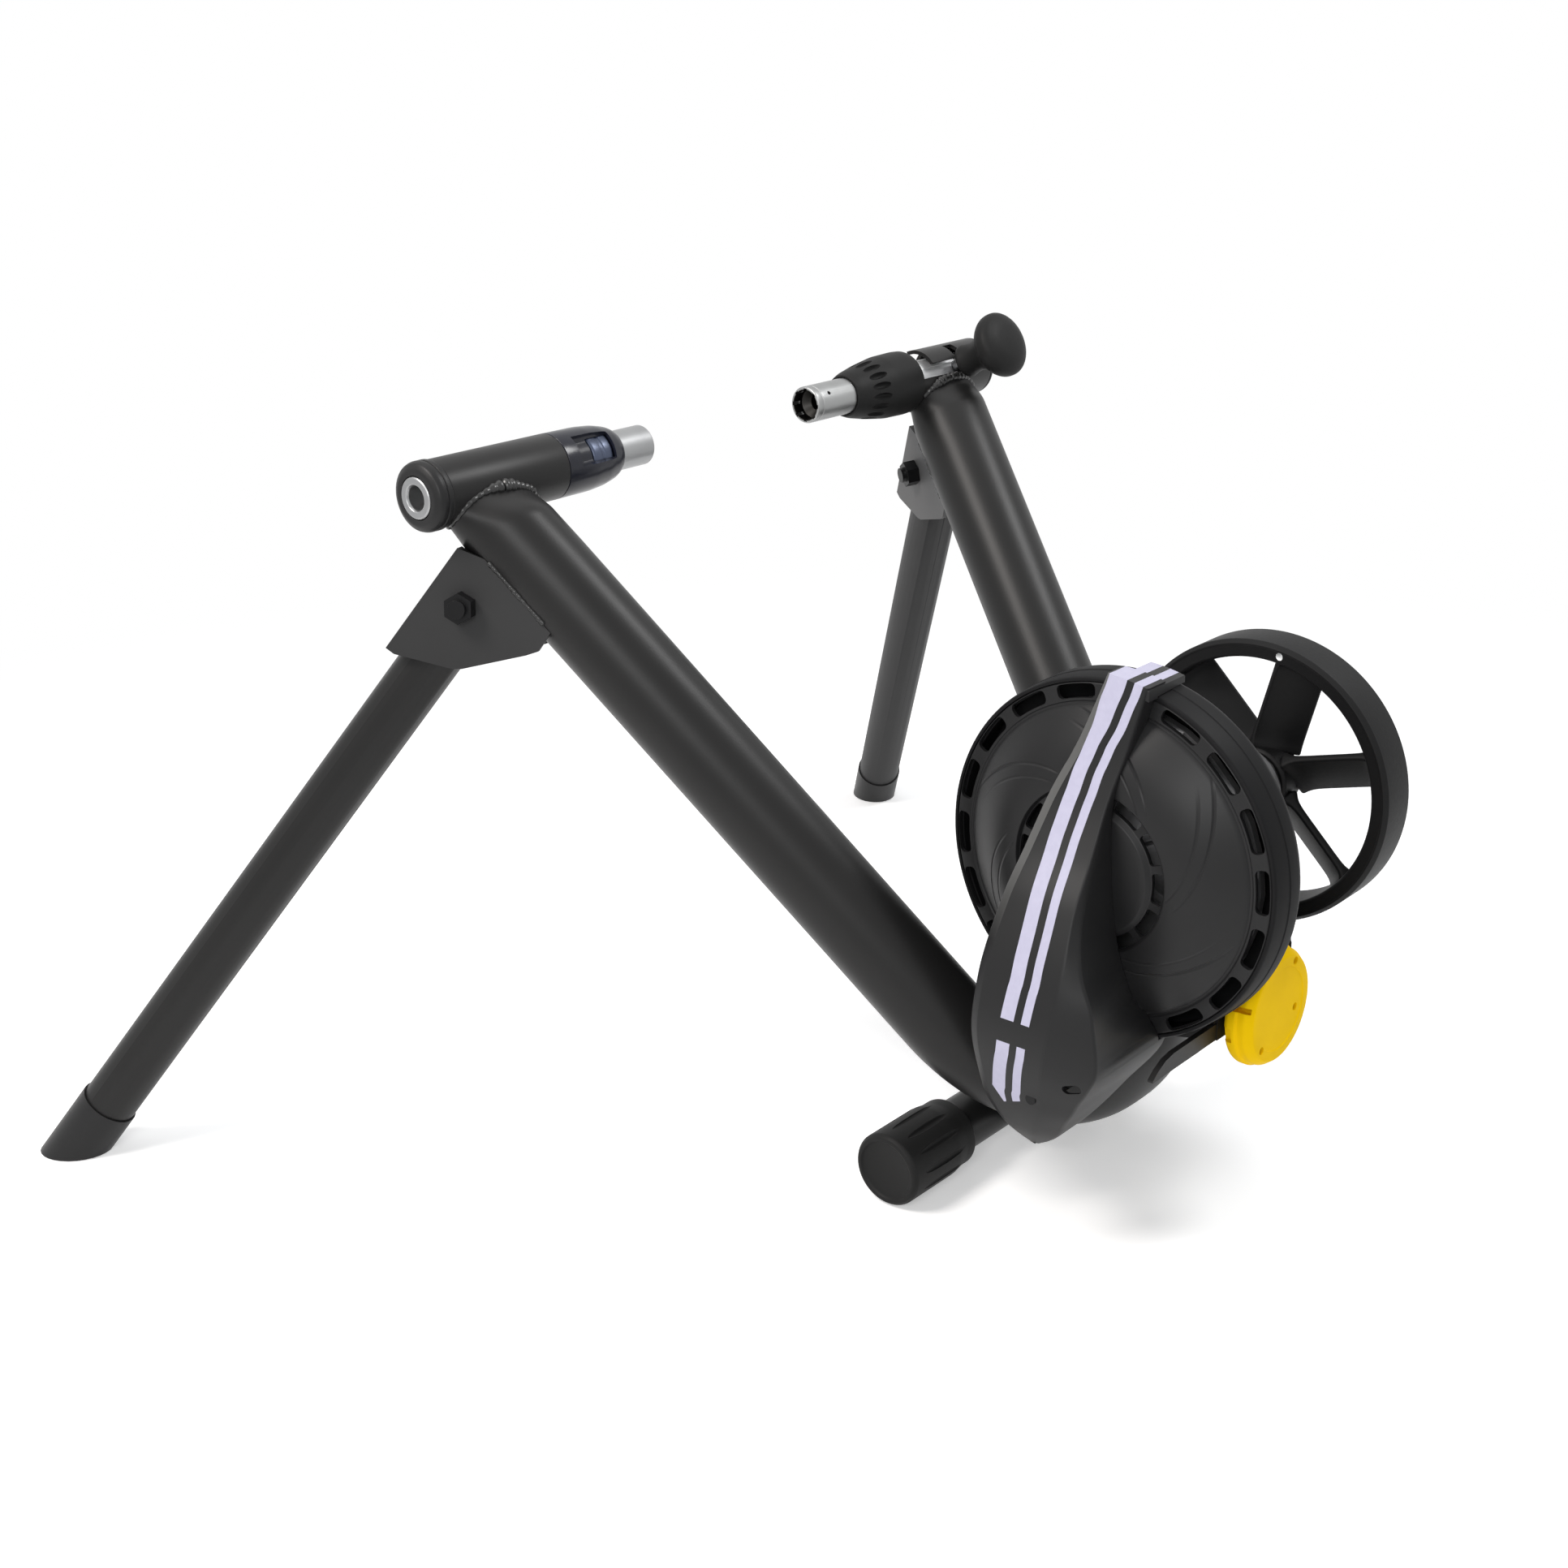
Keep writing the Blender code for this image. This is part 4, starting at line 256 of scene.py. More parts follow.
class Finish:
    """One material, built node by node round its Principled shader."""

    def __init__(self, name, colour, roughness, metallic=0.0, gloss=0.5):
        self.material = bpy.data.materials.new(name)
        self.material.use_nodes = True
        self.tree = self.material.node_tree
        self.shader = self.tree.nodes["Principled BSDF"]
        self.colour = colour
        tuned(self.shader, Base_Color=(*colour, 1.0), Roughness=roughness, Metallic=metallic,
              Specular_IOR_Level=gloss)
        self.place = self.node("ShaderNodeTexCoord", {}, {}, "Object")
        self.relief = None

    def node(self, kind, settings, inputs, output=0):
        """Add a node: its settings first, then values or wires for its sockets."""
        made = self.tree.nodes.new(kind)
        for key, value in settings.items():
            if key == "stops":
                self._stops(made, value)
            else:
                setattr(made, key, value)
        for key, value in inputs.items():
            if isinstance(value, Wire):
                self.tree.links.new(value.socket, made.inputs[key])
            else:
                made.inputs[key].default_value = value
        return Wire(self, made.outputs[output])

    def _stops(self, ramp, settings):
        stops, ramp.color_ramp.interpolation = settings
        while len(ramp.color_ramp.elements) < len(stops):
            ramp.color_ramp.elements.new(0.5)
        for element, (position, level) in zip(ramp.color_ramp.elements, stops):
            element.position = position
            element.color = (level, level, level, 1.0)

    def put(self, socket, wire):
        self.tree.links.new(wire.socket, self.shader.inputs[socket])

    def noise(self, scale, detail=2.0, roughness=0.5, place=None):
        return self.node("ShaderNodeTexNoise", {}, {"Vector": place or self.place, "Scale": scale,
                                                    "Detail": detail, "Roughness": roughness}, "Fac")

    def ramp(self, value, stops, interpolation="LINEAR"):
        return self.node("ShaderNodeValToRGB", {"stops": (stops, interpolation)}, {0: value})

    def maths(self, operation, first, second=0.0):
        return self.node("ShaderNodeMath", {"operation": operation}, {0: first, 1: second})

    def axis(self, letter, of=None):
        """One coordinate of the object's own space, or one part of another vector."""
        return self.node("ShaderNodeSeparateXYZ", {}, {0: of or self.place}, letter)

    def facing(self, letter):
        return self.axis(letter, self.node("ShaderNodeNewGeometry", {}, {}, "Normal"))

    def around(self, centre):
        """How far a point lies from a centre line along X, in Y and Z."""
        return self.axis("Y") - centre.y, self.axis("Z") - centre.z

    def mix(self, share, first, second):
        """Colours: first where share is 0, second where it is 1."""
        inputs = {"Factor": share, 6: first, 7: second}
        inputs = {k: ((*v, 1.0) if isinstance(v, tuple) and len(v) == 3 else v) for k, v in inputs.items()}
        return self.node("ShaderNodeMix", {"data_type": "RGBA"}, inputs, 2)

    def shades(self, share, dark, pale):
        """The finish's own colour, drifting between a darker and a paler shade of it."""
        return self.mix(share, *(tuple(min(1.0, c * level) for c in self.colour) for level in (dark, pale)))

    def bump(self, height, depth, strength=1.0):
        inputs = {"Height": height, "Distance": depth, "Strength": strength}
        if self.relief:
            inputs["Normal"] = self.relief
        self.relief = self.node("ShaderNodeBump", {}, inputs)
        self.put("Normal", self.relief)


# %% [markdown]
# The tubes are powder coated: a satin black skin with a faint orange peel, about a millimetre from
# hill to hill, and a very fine sparkle in its roughness. A slow cloud in the colour keeps the long
# tubes from looking like one flat tone.

# %% Powder coat


def powder_coat(name, colour, roughness=0.4, gloss=0.24):
    finish = Finish(name, colour, roughness, 0.0, gloss)
    cloud = finish.noise(14.0, 3.0)
    finish.put("Base Color", finish.shades(cloud, 0.8, 1.35))
    peel = finish.noise(900.0, 2.0)
    grain = finish.noise(5200.0, 1.0)
    finish.put("Roughness", roughness - 0.05 + cloud * 0.06 + grain * 0.05)
    finish.bump(peel, 0.05 * MM, 0.5)
    finish.bump(grain, 0.012 * MM, 0.6)
    return finish.material


black_paint = powder_coat("black_powder_coat", (0.009, 0.0088, 0.0088), 0.39)
grey_paint = powder_coat("leg_powder_coat", (0.022, 0.022, 0.0225), 0.5)
pale_paint = powder_coat("bracket_powder_coat", (0.085, 0.085, 0.086), 0.5)
bead_paint = powder_coat("bead_powder_coat", (0.016, 0.016, 0.016), 0.26, 0.45)

# %% [markdown]
# The drum, the cover arm and the caps are moulded in black plastic. Such parts leave a spark-eroded
# mould with a fine, even grain that spreads every highlight.

# %% Moulded plastic


def moulded(name, colour, roughness=0.45, grain_size=0.35 * MM, depth=0.018 * MM, gloss=0.22):
    finish = Finish(name, colour, roughness, 0.0, gloss)
    cells = finish.node("ShaderNodeTexVoronoi", {"feature": "SMOOTH_F1"},
                        {"Vector": finish.place, "Scale": 1.0 / grain_size, "Randomness": 1.0}, "Distance")
    flow = finish.noise(22.0, 3.0)
    finish.put("Base Color", finish.shades(flow, 0.86, 1.2))
    finish.put("Roughness", roughness - 0.04 + flow * 0.05 + cells * 0.06)
    finish.bump(cells, depth, 0.6)
    return finish


glossy_plastic = moulded("moulded_glossy", (0.008, 0.009, 0.016), 0.22, 0.6 * MM, 0.006 * MM, 0.36).material
black_plastic = moulded("moulded_black", (0.012, 0.012, 0.0125), 0.42).material
cap_plastic = moulded("moulded_cap", (0.012, 0.012, 0.012), 0.52, 0.5 * MM, 0.018 * MM, 0.14).material
pan_plastic = moulded("moulded_pan", (0.009, 0.009, 0.0095), 0.5, 0.4 * MM, 0.018 * MM, 0.08).material
yellow_plastic = moulded("moulded_yellow", (0.88, 0.54, 0.002), 0.5, 0.45 * MM, 0.01 * MM, 0.03).material

# %% [markdown]
# Bare metal parts are turned. A lathe tool leaves fine rings round the axis, which pull a highlight
# into a line along the part. The rings come from noise that is stretched round the axis: it reads
# only the distance along the axis, so it is the same all the way round. Inside one pin's bore the
# colour is painted dark within a radius: painted shade in the hollow.

# %% Turned metal
# The dark colour of the painted shade inside a pin's bore.
BORE_SHADE = (0.035, 0.034, 0.032)


def turned_metal(name, colour, roughness=0.3, metallic=1.0, ring=0.25 * MM, gloss=0.5, bore=0.0):
    finish = Finish(name, colour, roughness, metallic, gloss)
    where = finish.node("ShaderNodeCombineXYZ", {}, {"X": finish.axis("X") * (1.0 / ring)})
    rings = finish.noise(1.0, 2.0, 0.6, where)
    cloud = finish.noise(60.0, 3.0, 0.6)
    metal = finish.shades(cloud, 0.86, 1.08)
    # Painted shade: within the bore's radius round the axle, the base colour turns dark.
    if bore:
        y, z = (offset * (1.0 / MM) for offset in finish.around(AXLE))
        metal = finish.mix((y * y + z * z).below(bore * bore), metal, BORE_SHADE)
    finish.put("Base Color", metal)
    finish.put("Roughness", roughness + rings * 0.1 + cloud * 0.1)
    finish.bump(rings, 0.006 * MM, 0.5)
    return finish.material


zinc = turned_metal("zinc_plate", (0.345, 0.35, 0.355))
zinc_with_shaded_bore = turned_metal("zinc_plate_shaded_bore", (0.345, 0.35, 0.35), bore=9.9)
# A far paler copy of the zinc, as painted light: it keeps the clamp bolt bright inside its shaded slot. The
# flywheel's drilled spot takes it too.
zinc_painted_lit = turned_metal("zinc_plate_painted_lit", (0.9, 0.91, 0.92), 0.5)
blued_zinc = turned_metal("zinc_plate_blued", (0.055, 0.07, 0.115), 0.2, 0.5, gloss=0.7)
steel = turned_metal("turned_steel", (0.40, 0.40, 0.41))
aluminium = turned_metal("turned_aluminium", (0.2, 0.2, 0.205), 0.5, ring=0.5 * MM)
bronze = turned_metal("sintered_bronze", (0.5, 0.33, 0.17), 0.42)
black_steel = turned_metal("blackened_steel", (0.004, 0.004, 0.0045), 0.24, 0.0, gloss=0.2)

# %% [markdown]
# The flywheel is cast iron under black paint, a little rougher than the tubes. Coils are wound with
# enamelled copper wire, and the control board has green solder mask with copper tracks below it.

# %% Cast iron, copper and board


def cast_paint(name, colour, roughness, gloss=0.15):
    finish = Finish(name, colour, roughness, 0.0, gloss)
    lumps = finish.noise(420.0, 4.0, 0.6)
    cloud = finish.noise(30.0, 2.0)
    finish.put("Base Color", finish.shades(cloud, 0.8, 1.3))
    finish.put("Roughness", roughness + lumps * 0.08)
    finish.bump(lumps, 0.12 * MM, 0.6)
    return finish.material


def wound_copper(name):
    finish = Finish(name, (0.55, 0.2, 0.07), 0.32, 1.0)
    wave = finish.node("ShaderNodeTexWave", {"wave_type": "BANDS", "bands_direction": "X"},
                       {"Vector": finish.place, "Scale": 900.0, "Distortion": 0.6}, "Fac")
    finish.put("Base Color", finish.mix(wave, (0.32, 0.1, 0.03), (0.66, 0.27, 0.1)))
    finish.bump(wave, 0.2 * MM, 0.7)
    return finish.material


def solder_mask(name):
    finish = Finish(name, (0.012, 0.1, 0.045), 0.3)
    tracks = finish.node("ShaderNodeTexBrick", {},
                         {"Vector": finish.place, "Scale": 160.0, "Mortar Size": 0.06}, "Fac")
    finish.put("Base Color", finish.mix(tracks, finish.colour, (0.03, 0.17, 0.08)))
    finish.bump(tracks, 0.04 * MM, 0.6)
    return finish.material


cast_iron = cast_paint("painted_casting", (0.006, 0.006, 0.0063), 0.46)
copper = wound_copper("wound_copper")
board = solder_mask("solder_mask")

# %% [markdown]
# Each CAD node names the slot that its finish comes from. For a node that stays, the new finish simply
# takes its place in the object's own material slot.

# %% Finishes for the CAD nodes
FINISHES = {"black_paint": black_paint, "grey_paint": grey_paint, "black_plastic": black_plastic,
            "yellow_plastic": yellow_plastic, "zinc": zinc, "steel": steel, "black_steel": black_steel,
            "aluminium": aluminium, "cast_iron": cast_iron, "copper": copper, "bronze": bronze,
            "board": board}
slot_of = {s["node"]: s["material_slot"] for s in frame["record"]["subparts"]}
for name, node in frame["nodes"].items():
    for place in node.material_slots:
        place.material = FINISHES[slot_of[name]]
print("finished", len(frame["nodes"]), "nodes in", len(FINISHES), "finishes")

# %% [markdown]
# CAD meshes come as loose flat triangles. A copy that is merged and shaded smooth up to a given angle
# shows a round tube as round, and a narrow bevel on its edges catches the light as a real edge does.

# %% Smooth stand-ins for CAD nodes
BODY_OF = {n: body for body, names in frame["record"]["behaviour"]["bodies"].items() for n in names}


def finish_piece(obj, material, body, nodes=()):
    """Give a finished piece its material, its body and the nodes that it stands for."""
    obj.data.materials.clear()
    obj.data.materials.append(material)
    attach(obj, body)
    if nodes:
        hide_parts(*nodes)
    return obj


def object_of(name, bm, sharp=35.0):
    """Turn a bmesh into an object with smooth shading and sharp edges above an angle."""
    mesh = bpy.data.meshes.new(name)
    bm.to_mesh(mesh)
    bm.free()
    mesh.shade_smooth()
    mesh.set_sharp_from_angle(angle=math.radians(sharp))
    obj = bpy.data.objects.new(name, mesh)
    bpy.context.scene.collection.objects.link(obj)
    return obj


def merged_copy(node):
    """The CAD node's triangles as one connected bmesh with its flat faces whole again."""
    bm = bmesh.new()
    bm.from_mesh(frame["nodes"][node].data)
    bmesh.ops.remove_doubles(bm, verts=bm.verts, dist=0.002 * MM)
    bmesh.ops.dissolve_limit(bm, angle_limit=math.radians(0.5), verts=bm.verts, edges=bm.edges,
                             use_dissolve_boundaries=False)
    return bm


def piece(name, bm, node, material=None, sharp=35.0, edge=0.0):
    """A stand-in for a CAD node, on its body and in its slot, with sharp edges softened by edge mm."""
    obj = object_of(name, bm, sharp)
    if edge:
        bevel = obj.modifiers.new("edge", "BEVEL")
        bevel.width = edge * MM
        bevel.segments = 2
        bevel.limit_method = "ANGLE"
        bevel.angle_limit = math.radians(sharp)
        bevel.harden_normals = True
    slot = slot_of[node]
    return finish_piece(obj, material or FINISHES[slot], BODY_OF[node], [node])


def smooth_node(node, material=None, sharp=35.0, edge=0.0):
    return piece(node + "_skin", merged_copy(node), node, material, sharp, edge)


PLAIN_NODES = ["cross_tube", "left_leg", "right_leg", "left_foot", "right_foot", "anchor_pin",
               "tension_bolt", "bearing_left", "bearing_right", "power_inlet", "rotor_shaft",
               "clamp_bolt", "thrust_washer", "pivot_bush_left", "pivot_bush_right",
               "anchor_spacer_left", "anchor_spacer_right", "coil_ring", "brake_coils", "brake_rotor",
               "circuit_board", "flywheel_nut", "arm_screw"]
EDGED_NODES = ["left_hinge_bolt", "right_hinge_bolt", "pivot_bolt"]
BOLT_EDGE = 0.7
for node in PLAIN_NODES:
    smooth_node(node)
for node in EDGED_NODES:
    smooth_node(node, edge=BOLT_EDGE)
print("smooth stand-ins:", len(PLAIN_NODES) + len(EDGED_NODES))

# %% [markdown]
# Most of the other parts are turned or moulded round. Such a part starts as its outline, drawn once in
# distance from the axis and distance along it. The outline's corners are rounded first, while they are
# still single points, and one full spin then makes the part: that is how a lathe sees it, and it keeps
# every edge's rounding even all the way round.

# %% Spun outlines


def at(x, y, z):
    """A place in millimetres from the floor point below the middle of the axle line."""
    return Vector((x * MM, AXLE.y + y * MM, z * MM))


def along_x(place, x):
    """The place that lies x millimetres to the right of another."""
    return place + Vector((x * MM, 0.0, 0.0))


def turned(degrees, axis="X"):
    return Matrix.Rotation(math.radians(degrees), 4, axis)


def rounded(bm, geom, size, segments, affect="EDGES"):
    """Round edges or lone corners of a bmesh by a size in metres."""
    bmesh.ops.bevel(bm, geom=geom, offset=size, offset_type="OFFSET", segments=segments, profile=0.5,
                    affect=affect, material=-1)


def facing(centre, way=(1.0, 0.0, 0.0)):
    """A matrix whose X axis starts at a centre and points along a way."""
    turn = Vector((1.0, 0.0, 0.0)).rotation_difference(Vector(way).normalized())
    return Matrix.Translation(centre) @ turn.to_matrix().to_4x4()


def spun(outline, matrix, steps=96, closed=True):
    """Spin an outline of (radius, distance along X, rounding), all in millimetres, about X."""
    bm = bmesh.new()
    verts = [bm.verts.new((x * MM, radius * MM, 0.0)) for radius, x, *_ in outline]
    ends = verts[1:] + verts[:1] if closed else verts[1:]
    for first, second in zip(verts, ends):
        bm.edges.new((first, second))
    for size in sorted({p[2] for p in outline if len(p) > 2}):
        corners = [v for v, p in zip(verts, outline) if len(p) > 2 and p[2] == size]
        rounded(bm, corners, size * MM, 4, "VERTICES")
    bmesh.ops.spin(bm, geom=bm.verts[:] + bm.edges[:], cent=(0, 0, 0), axis=(1, 0, 0), dvec=(0, 0, 0),
                   angle=2.0 * math.pi, steps=steps, use_merge=True)
    bmesh.ops.remove_doubles(bm, verts=bm.verts, dist=0.002 * MM)
    bmesh.ops.transform(bm, matrix=matrix, verts=bm.verts)
    bmesh.ops.recalc_face_normals(bm, faces=bm.faces)
    return bm


def block(low, high, matrix=Matrix(), rounding=0.0, segments=3):
    """A box between two corners in millimetres, its edges rounded, placed by a matrix."""
    bm = bmesh.new()
    low, high = Vector(low) * MM, Vector(high) * MM
    bmesh.ops.create_cube(bm, size=1.0)
    bmesh.ops.scale(bm, vec=high - low, verts=bm.verts)
    bmesh.ops.translate(bm, vec=(low + high) / 2.0, verts=bm.verts)
    if rounding:
        rounded(bm, bm.edges[:], rounding * MM, segments)
    bmesh.ops.transform(bm, matrix=matrix, verts=bm.verts)
    return bm


def rod(start, end, radius, steps=48):
    """A plain round bar between two points, with a radius in millimetres."""
    length = (Vector(end) - Vector(start)).length / MM
    outline = [(0.0, 0.0), (radius, 0.0), (radius, length), (0.0, length)]
    return spun(outline, facing(start, Vector(end) - Vector(start)), steps, closed=False)


def together(*parts):
    """Put several bmeshes into one."""
    whole = bmesh.new()
    for bm in parts:
        mesh = bpy.data.meshes.new("part")
        bm.to_mesh(mesh)
        bm.free()
        whole.from_mesh(mesh)
        bpy.data.meshes.remove(mesh)
    return whole


def carved(bm, tool, operation="DIFFERENCE"):
    """Cut one bmesh with another, or join them, with an exact Boolean that is applied at once."""
    body, cutter = object_of("carved_body", bm), object_of("carving_tool", tool)
    boolean = body.modifiers.new("carve", "BOOLEAN")
    boolean.object = cutter
    boolean.operation = operation
    boolean.solver = "EXACT"
    bpy.context.view_layer.update()
    done = body.evaluated_get(bpy.context.evaluated_depsgraph_get())
    result = bmesh.new()
    result.from_mesh(done.to_mesh())
    done.to_mesh_clear()
    for used in (body, cutter):
        mesh = used.data
        bpy.data.objects.remove(used)
        bpy.data.meshes.remove(mesh)
    bmesh.ops.remove_doubles(result, verts=result.verts, dist=0.01 * MM)
    return result


# %% [markdown]
# The drum's front cover is a thin moulded dish: a flat band with eighteen long vents near its rim, a
# step, a dome, and twelve more vents round the hub. The dish is spun as a closed sheet. Each vent is
# cut with a bent block, made by spinning a rectangle through a part of a turn and rounding its four
# upright edges, so that the vents get the soft ends that a mould gives them.

# %% Drum front cover
RIM_VENTS, HUB_VENTS = 18, 12
VENT_PHASE = 103.3
SHEET = 2.4


def vent_block(inner, outer, low, high, start, sweep, rounding, centre=HUB):
    """A block bent round X between two radii, from one angle through another, ends rounded."""
    bm = bmesh.new()
    corners = [bm.verts.new((x * MM, radius * MM, 0.0))
               for x, radius in ((low, inner), (high, inner), (high, outer), (low, outer))]
    bm.faces.new(corners)
    bmesh.ops.spin(bm, geom=bm.faces[:] + bm.edges[:] + bm.verts[:], cent=(0, 0, 0), axis=(1, 0, 0),
                   dvec=(0, 0, 0), angle=math.radians(sweep), steps=8)
    bmesh.ops.recalc_face_normals(bm, faces=bm.faces)
    upright = [e for e in bm.edges if abs((e.verts[0].co - e.verts[1].co).normalized().x) > 0.99
               and e.calc_face_angle(0.0) > 1.0]
    rounded(bm, upright, rounding * MM, 5)
    bmesh.ops.rotate(bm, cent=(0, 0, 0), matrix=turned(start), verts=bm.verts)
    bmesh.ops.translate(bm, vec=centre, verts=bm.verts)
    return bm


def dome_line(count):
    """Radius and distance of the dome's outer skin, a quarter of a sine wave."""
    rise = [k / count for k in range(count + 1)]
    return [(84.6 - 38.0 * t, -64.0 - 16.5 * math.sin(t * math.pi / 2.0)) for t in rise]


skin = [(0.0, -81.3), (31.0, -81.3), (34.6, -80.8, 0.5), (37.0, -78.1, 0.5), (44.4, -78.1, 0.5),
        (45.6, -80.5, 0.5)] + dome_line(20)[::-1]
skin += [(85.2, -63.1, 0.3), (86.4, -63.0, 0.3), (87.1, -63.7, 0.3), (96.0, -63.0, 0.4),
         (96.8, -62.0, 0.3)]
inside = [(radius, x + SHEET) for radius, x, *_ in skin[::-1]]
cover = spun(skin + inside, facing(HUB), 144, closed=False)
vents = []
for count, band, start, sweep, rounding in ((RIM_VENTS, (88.3, 95.9, -67.0, -57.0), 5.2, 14.8, 2.8),
                                            (HUB_VENTS, (37.3, 44.2, -84.0, -70.0), 5.5, 24.0, 1.8)):
    vents += [vent_block(*band, VENT_PHASE + 360.0 / count * k + start, sweep, rounding)
              for k in range(count)]
cover = carved(cover, together(*vents))
print("front cover:", len(cover.faces), "faces,", len(vents), "vents")
front_cover = piece("front_cover", cover, "drum_front_cover", edge=0.35, sharp=40.0)

# %% [markdown]
# The dome carries shallow curved lines, like the arms of a pinwheel, that lead the eye to the hub. They
# are far too fine to model. In the finish, each point's angle round the hub is folded into six equal
# parts, and within one part a line falls from the dome's edge towards the hub.

# %% Pinwheel lines on the dome
SWIRLS, SWIRL_PHASE, SWIRL_OUT, SWIRL_DROP, DOME_INNER = 6, 133.0, 86.0, 36.0, 47.0
dome_finish = moulded("moulded_dome", (0.012, 0.012, 0.0125), 0.4)
away_y, away_z = dome_finish.around(HUB)
radius = dome_finish.maths("SQRT", away_y * away_y + away_z * away_z) * (1.0 / MM)
turns = dome_finish.maths("ARCTAN2", away_z, away_y) * (1.0 / (2.0 * math.pi)) + 1.0
part = dome_finish.maths("FRACT", turns * SWIRLS - SWIRL_PHASE * SWIRLS / 360.0)
for shift, depth in ((0.0, 0.7 * MM), (7.5, 0.4 * MM)):
    off_line = dome_finish.maths("ABSOLUTE", radius - (SWIRL_OUT - shift) + part * SWIRL_DROP)
    line_mask = dome_finish.maths("MAXIMUM", 1.0 - off_line * 0.9) * part * (1.0 - part) * 4.0
    dome_finish.bump(1.0 - line_mask * radius.above(DOME_INNER), depth)
front_cover.data.materials[0] = dome_finish.material

# %% [markdown]
# Behind the cover sits the pan, the drum's own shell. Its rim shows from the side as a smooth band with
# one fine step, where the two halves of the mould met.

# %% Drum pan
pan = [(97.0, -63.0, 0.3), (98.6, -63.0, 0.5), (99.3, -61.6), (99.7, -50.0, 0.3), (100.2, -49.6, 0.3),
       (100.4, -41.0, 1.2), (98.4, -36.6, 1.2), (21.0, -36.6, 0.4), (21.0, -39.0), (98.4, -39.0, 1.0),
       (95.2, -59.3), (97.0, -59.3)]
piece("pan", spun(pan, facing(HUB), 144), "drum_pan", pan_plastic, sharp=30.0)

# %% [markdown]
# The cover arm is the part that gives the trainer its face. It runs up over the drum as a curved blade
# with a crease along its back, bulges out below where the control board sits, and wraps over the rim in
# a short strap. Its cross-section changes all the way, so it is lofted: one ring of six corners at
# each height, the outer corners rounded, and every ring bridged to the next. A smaller loft inside it
# is cut away and leaves a wall.

# %% Cover arm: its lines
ARM_LOW, ARM_HIGH, ARM_WALL = 63.8, 330.0, 2.6
ARM_FRONT = ((ARM_HIGH, -325.5), (288, -311), (250, -298), (200, -291), (160, -288.5), (122, -288.3),
             (98, -288.3), (87, -290.9), (78, -294.5), (70, -298.5), (66, -302.7), (ARM_LOW, -307.0))
ARM_OUT = ((ARM_HIGH, -71.5), (288, -77), (260, -86), (231, -100), (207, -115), (167, -132), (140, -137),
           (99, -126), (76, -116), (ARM_LOW, -107))
ARM_CREASE = ((ARM_HIGH, -348), (288, -339), (250, -334), (207, -335.5), (180, -337.5), (160, -337.0),
              (140, -334.5), (120, -330), (98, -325), (78, -316), (ARM_LOW, -309))
ARM_REAR = ((ARM_HIGH, -349), (288, -340), (250, -334.5), (207, -337), (178, -346), (160, -355),
            (130, -360), (115, -353.5), (106, -347.5), (96, -341.5), (86, -334.5), (77, -328.8),
            (68.4, -319.7), (ARM_LOW, -312.5))
ARM_REAR_X = ((ARM_HIGH, -70), (288, -74), (250, -84), (207, -108), (178, -122), (150, -126),
              (124, -127), (98, -121), (78, -112), (ARM_LOW, -105.5))
ARM_EDGE = ((ARM_HIGH, -349), (288, -340), (250, -333.5), (207, -336), (150, -342), (136, -350),
            (124, -357.5), (98, -343), (78, -329.5), (68.4, -320), (ARM_LOW, -312.5))
ARM_INNER_X = ((ARM_HIGH, -56), (128, -56), (110, -63.6), (ARM_LOW, -96))


def along(points, z):
    """A smooth curve through (z, value) points that never overshoots them."""
    rows = sorted(points)
    slopes = [(b[1] - a[1]) / (b[0] - a[0]) for a, b in zip(rows, rows[1:])]
    tangents = [slopes[0]]
    for before, after in zip(slopes, slopes[1:]):
        tangents.append(0.0 if before * after <= 0.0 else 2.0 * before * after / (before + after))
    tangents.append(slopes[-1])
    k = max(0, min(len(rows) - 2, sum(1 for row in rows if row[0] < z) - 1))
    (low, first), (high, second) = rows[k], rows[k + 1]
    h = high - low
    t = (z - low) / h
    return ((1 + 2 * t) * (1 - t) ** 2 * first + t * (1 - t) ** 2 * h * tangents[k]
            + t * t * (3 - 2 * t) * second + t * t * (t - 1) * h * tangents[k + 1])


def arm_corners(z, inset):
    """The six (x, y) corners of the arm's cross-section at a height, for its skin or its inside."""
    open_side = 8.0 if inset else 0.0
    out, front = along(ARM_OUT, z) + inset, along(ARM_FRONT, z) + 1.2 - inset
    return [(along(ARM_INNER_X, z) + open_side, front), (out + 2.2, front), (out, front - 5.4),
            (out, along(ARM_CREASE, z) + inset * 0.6),
            (along(ARM_REAR_X, z) + inset * 0.4, along(ARM_REAR, z) + inset),
            (along(ARM_INNER_X, z) + open_side, along(ARM_EDGE, z) + inset)]


def loft(rings):
    """Bridge rings of edges one after another and close both ends."""
    bm = bmesh.new()
    loops = []
    for points, sizes in rings:
        verts = [bm.verts.new(p) for p in points]
        edges = [bm.edges.new(pair) for pair in zip(verts, verts[1:] + verts[:1])]
        shortest = min(e.calc_length() for e in edges)
        before = set(bm.edges) - set(edges)
        for corner, (size, segments) in zip(verts, sizes):
            if size:
                rounded(bm, [corner], min(size * MM, shortest * 0.3), segments, "VERTICES")
        loops.append([e for e in bm.edges if e not in before])
    for first, second in zip(loops, loops[1:]):
        bmesh.ops.bridge_loops(bm, edges=first + second)
    for loop in (loops[0], loops[-1]):
        bmesh.ops.contextual_create(bm, geom=loop)
    bmesh.ops.recalc_face_normals(bm, faces=bm.faces)
    return bm


def arm_loft(inset, low, high, count, sizes):
    levels = [low + (high - low) * k / count for k in range(count + 1)]
    return loft([([at(x, y, z) for x, y in arm_corners(z, inset)], sizes) for z in levels])


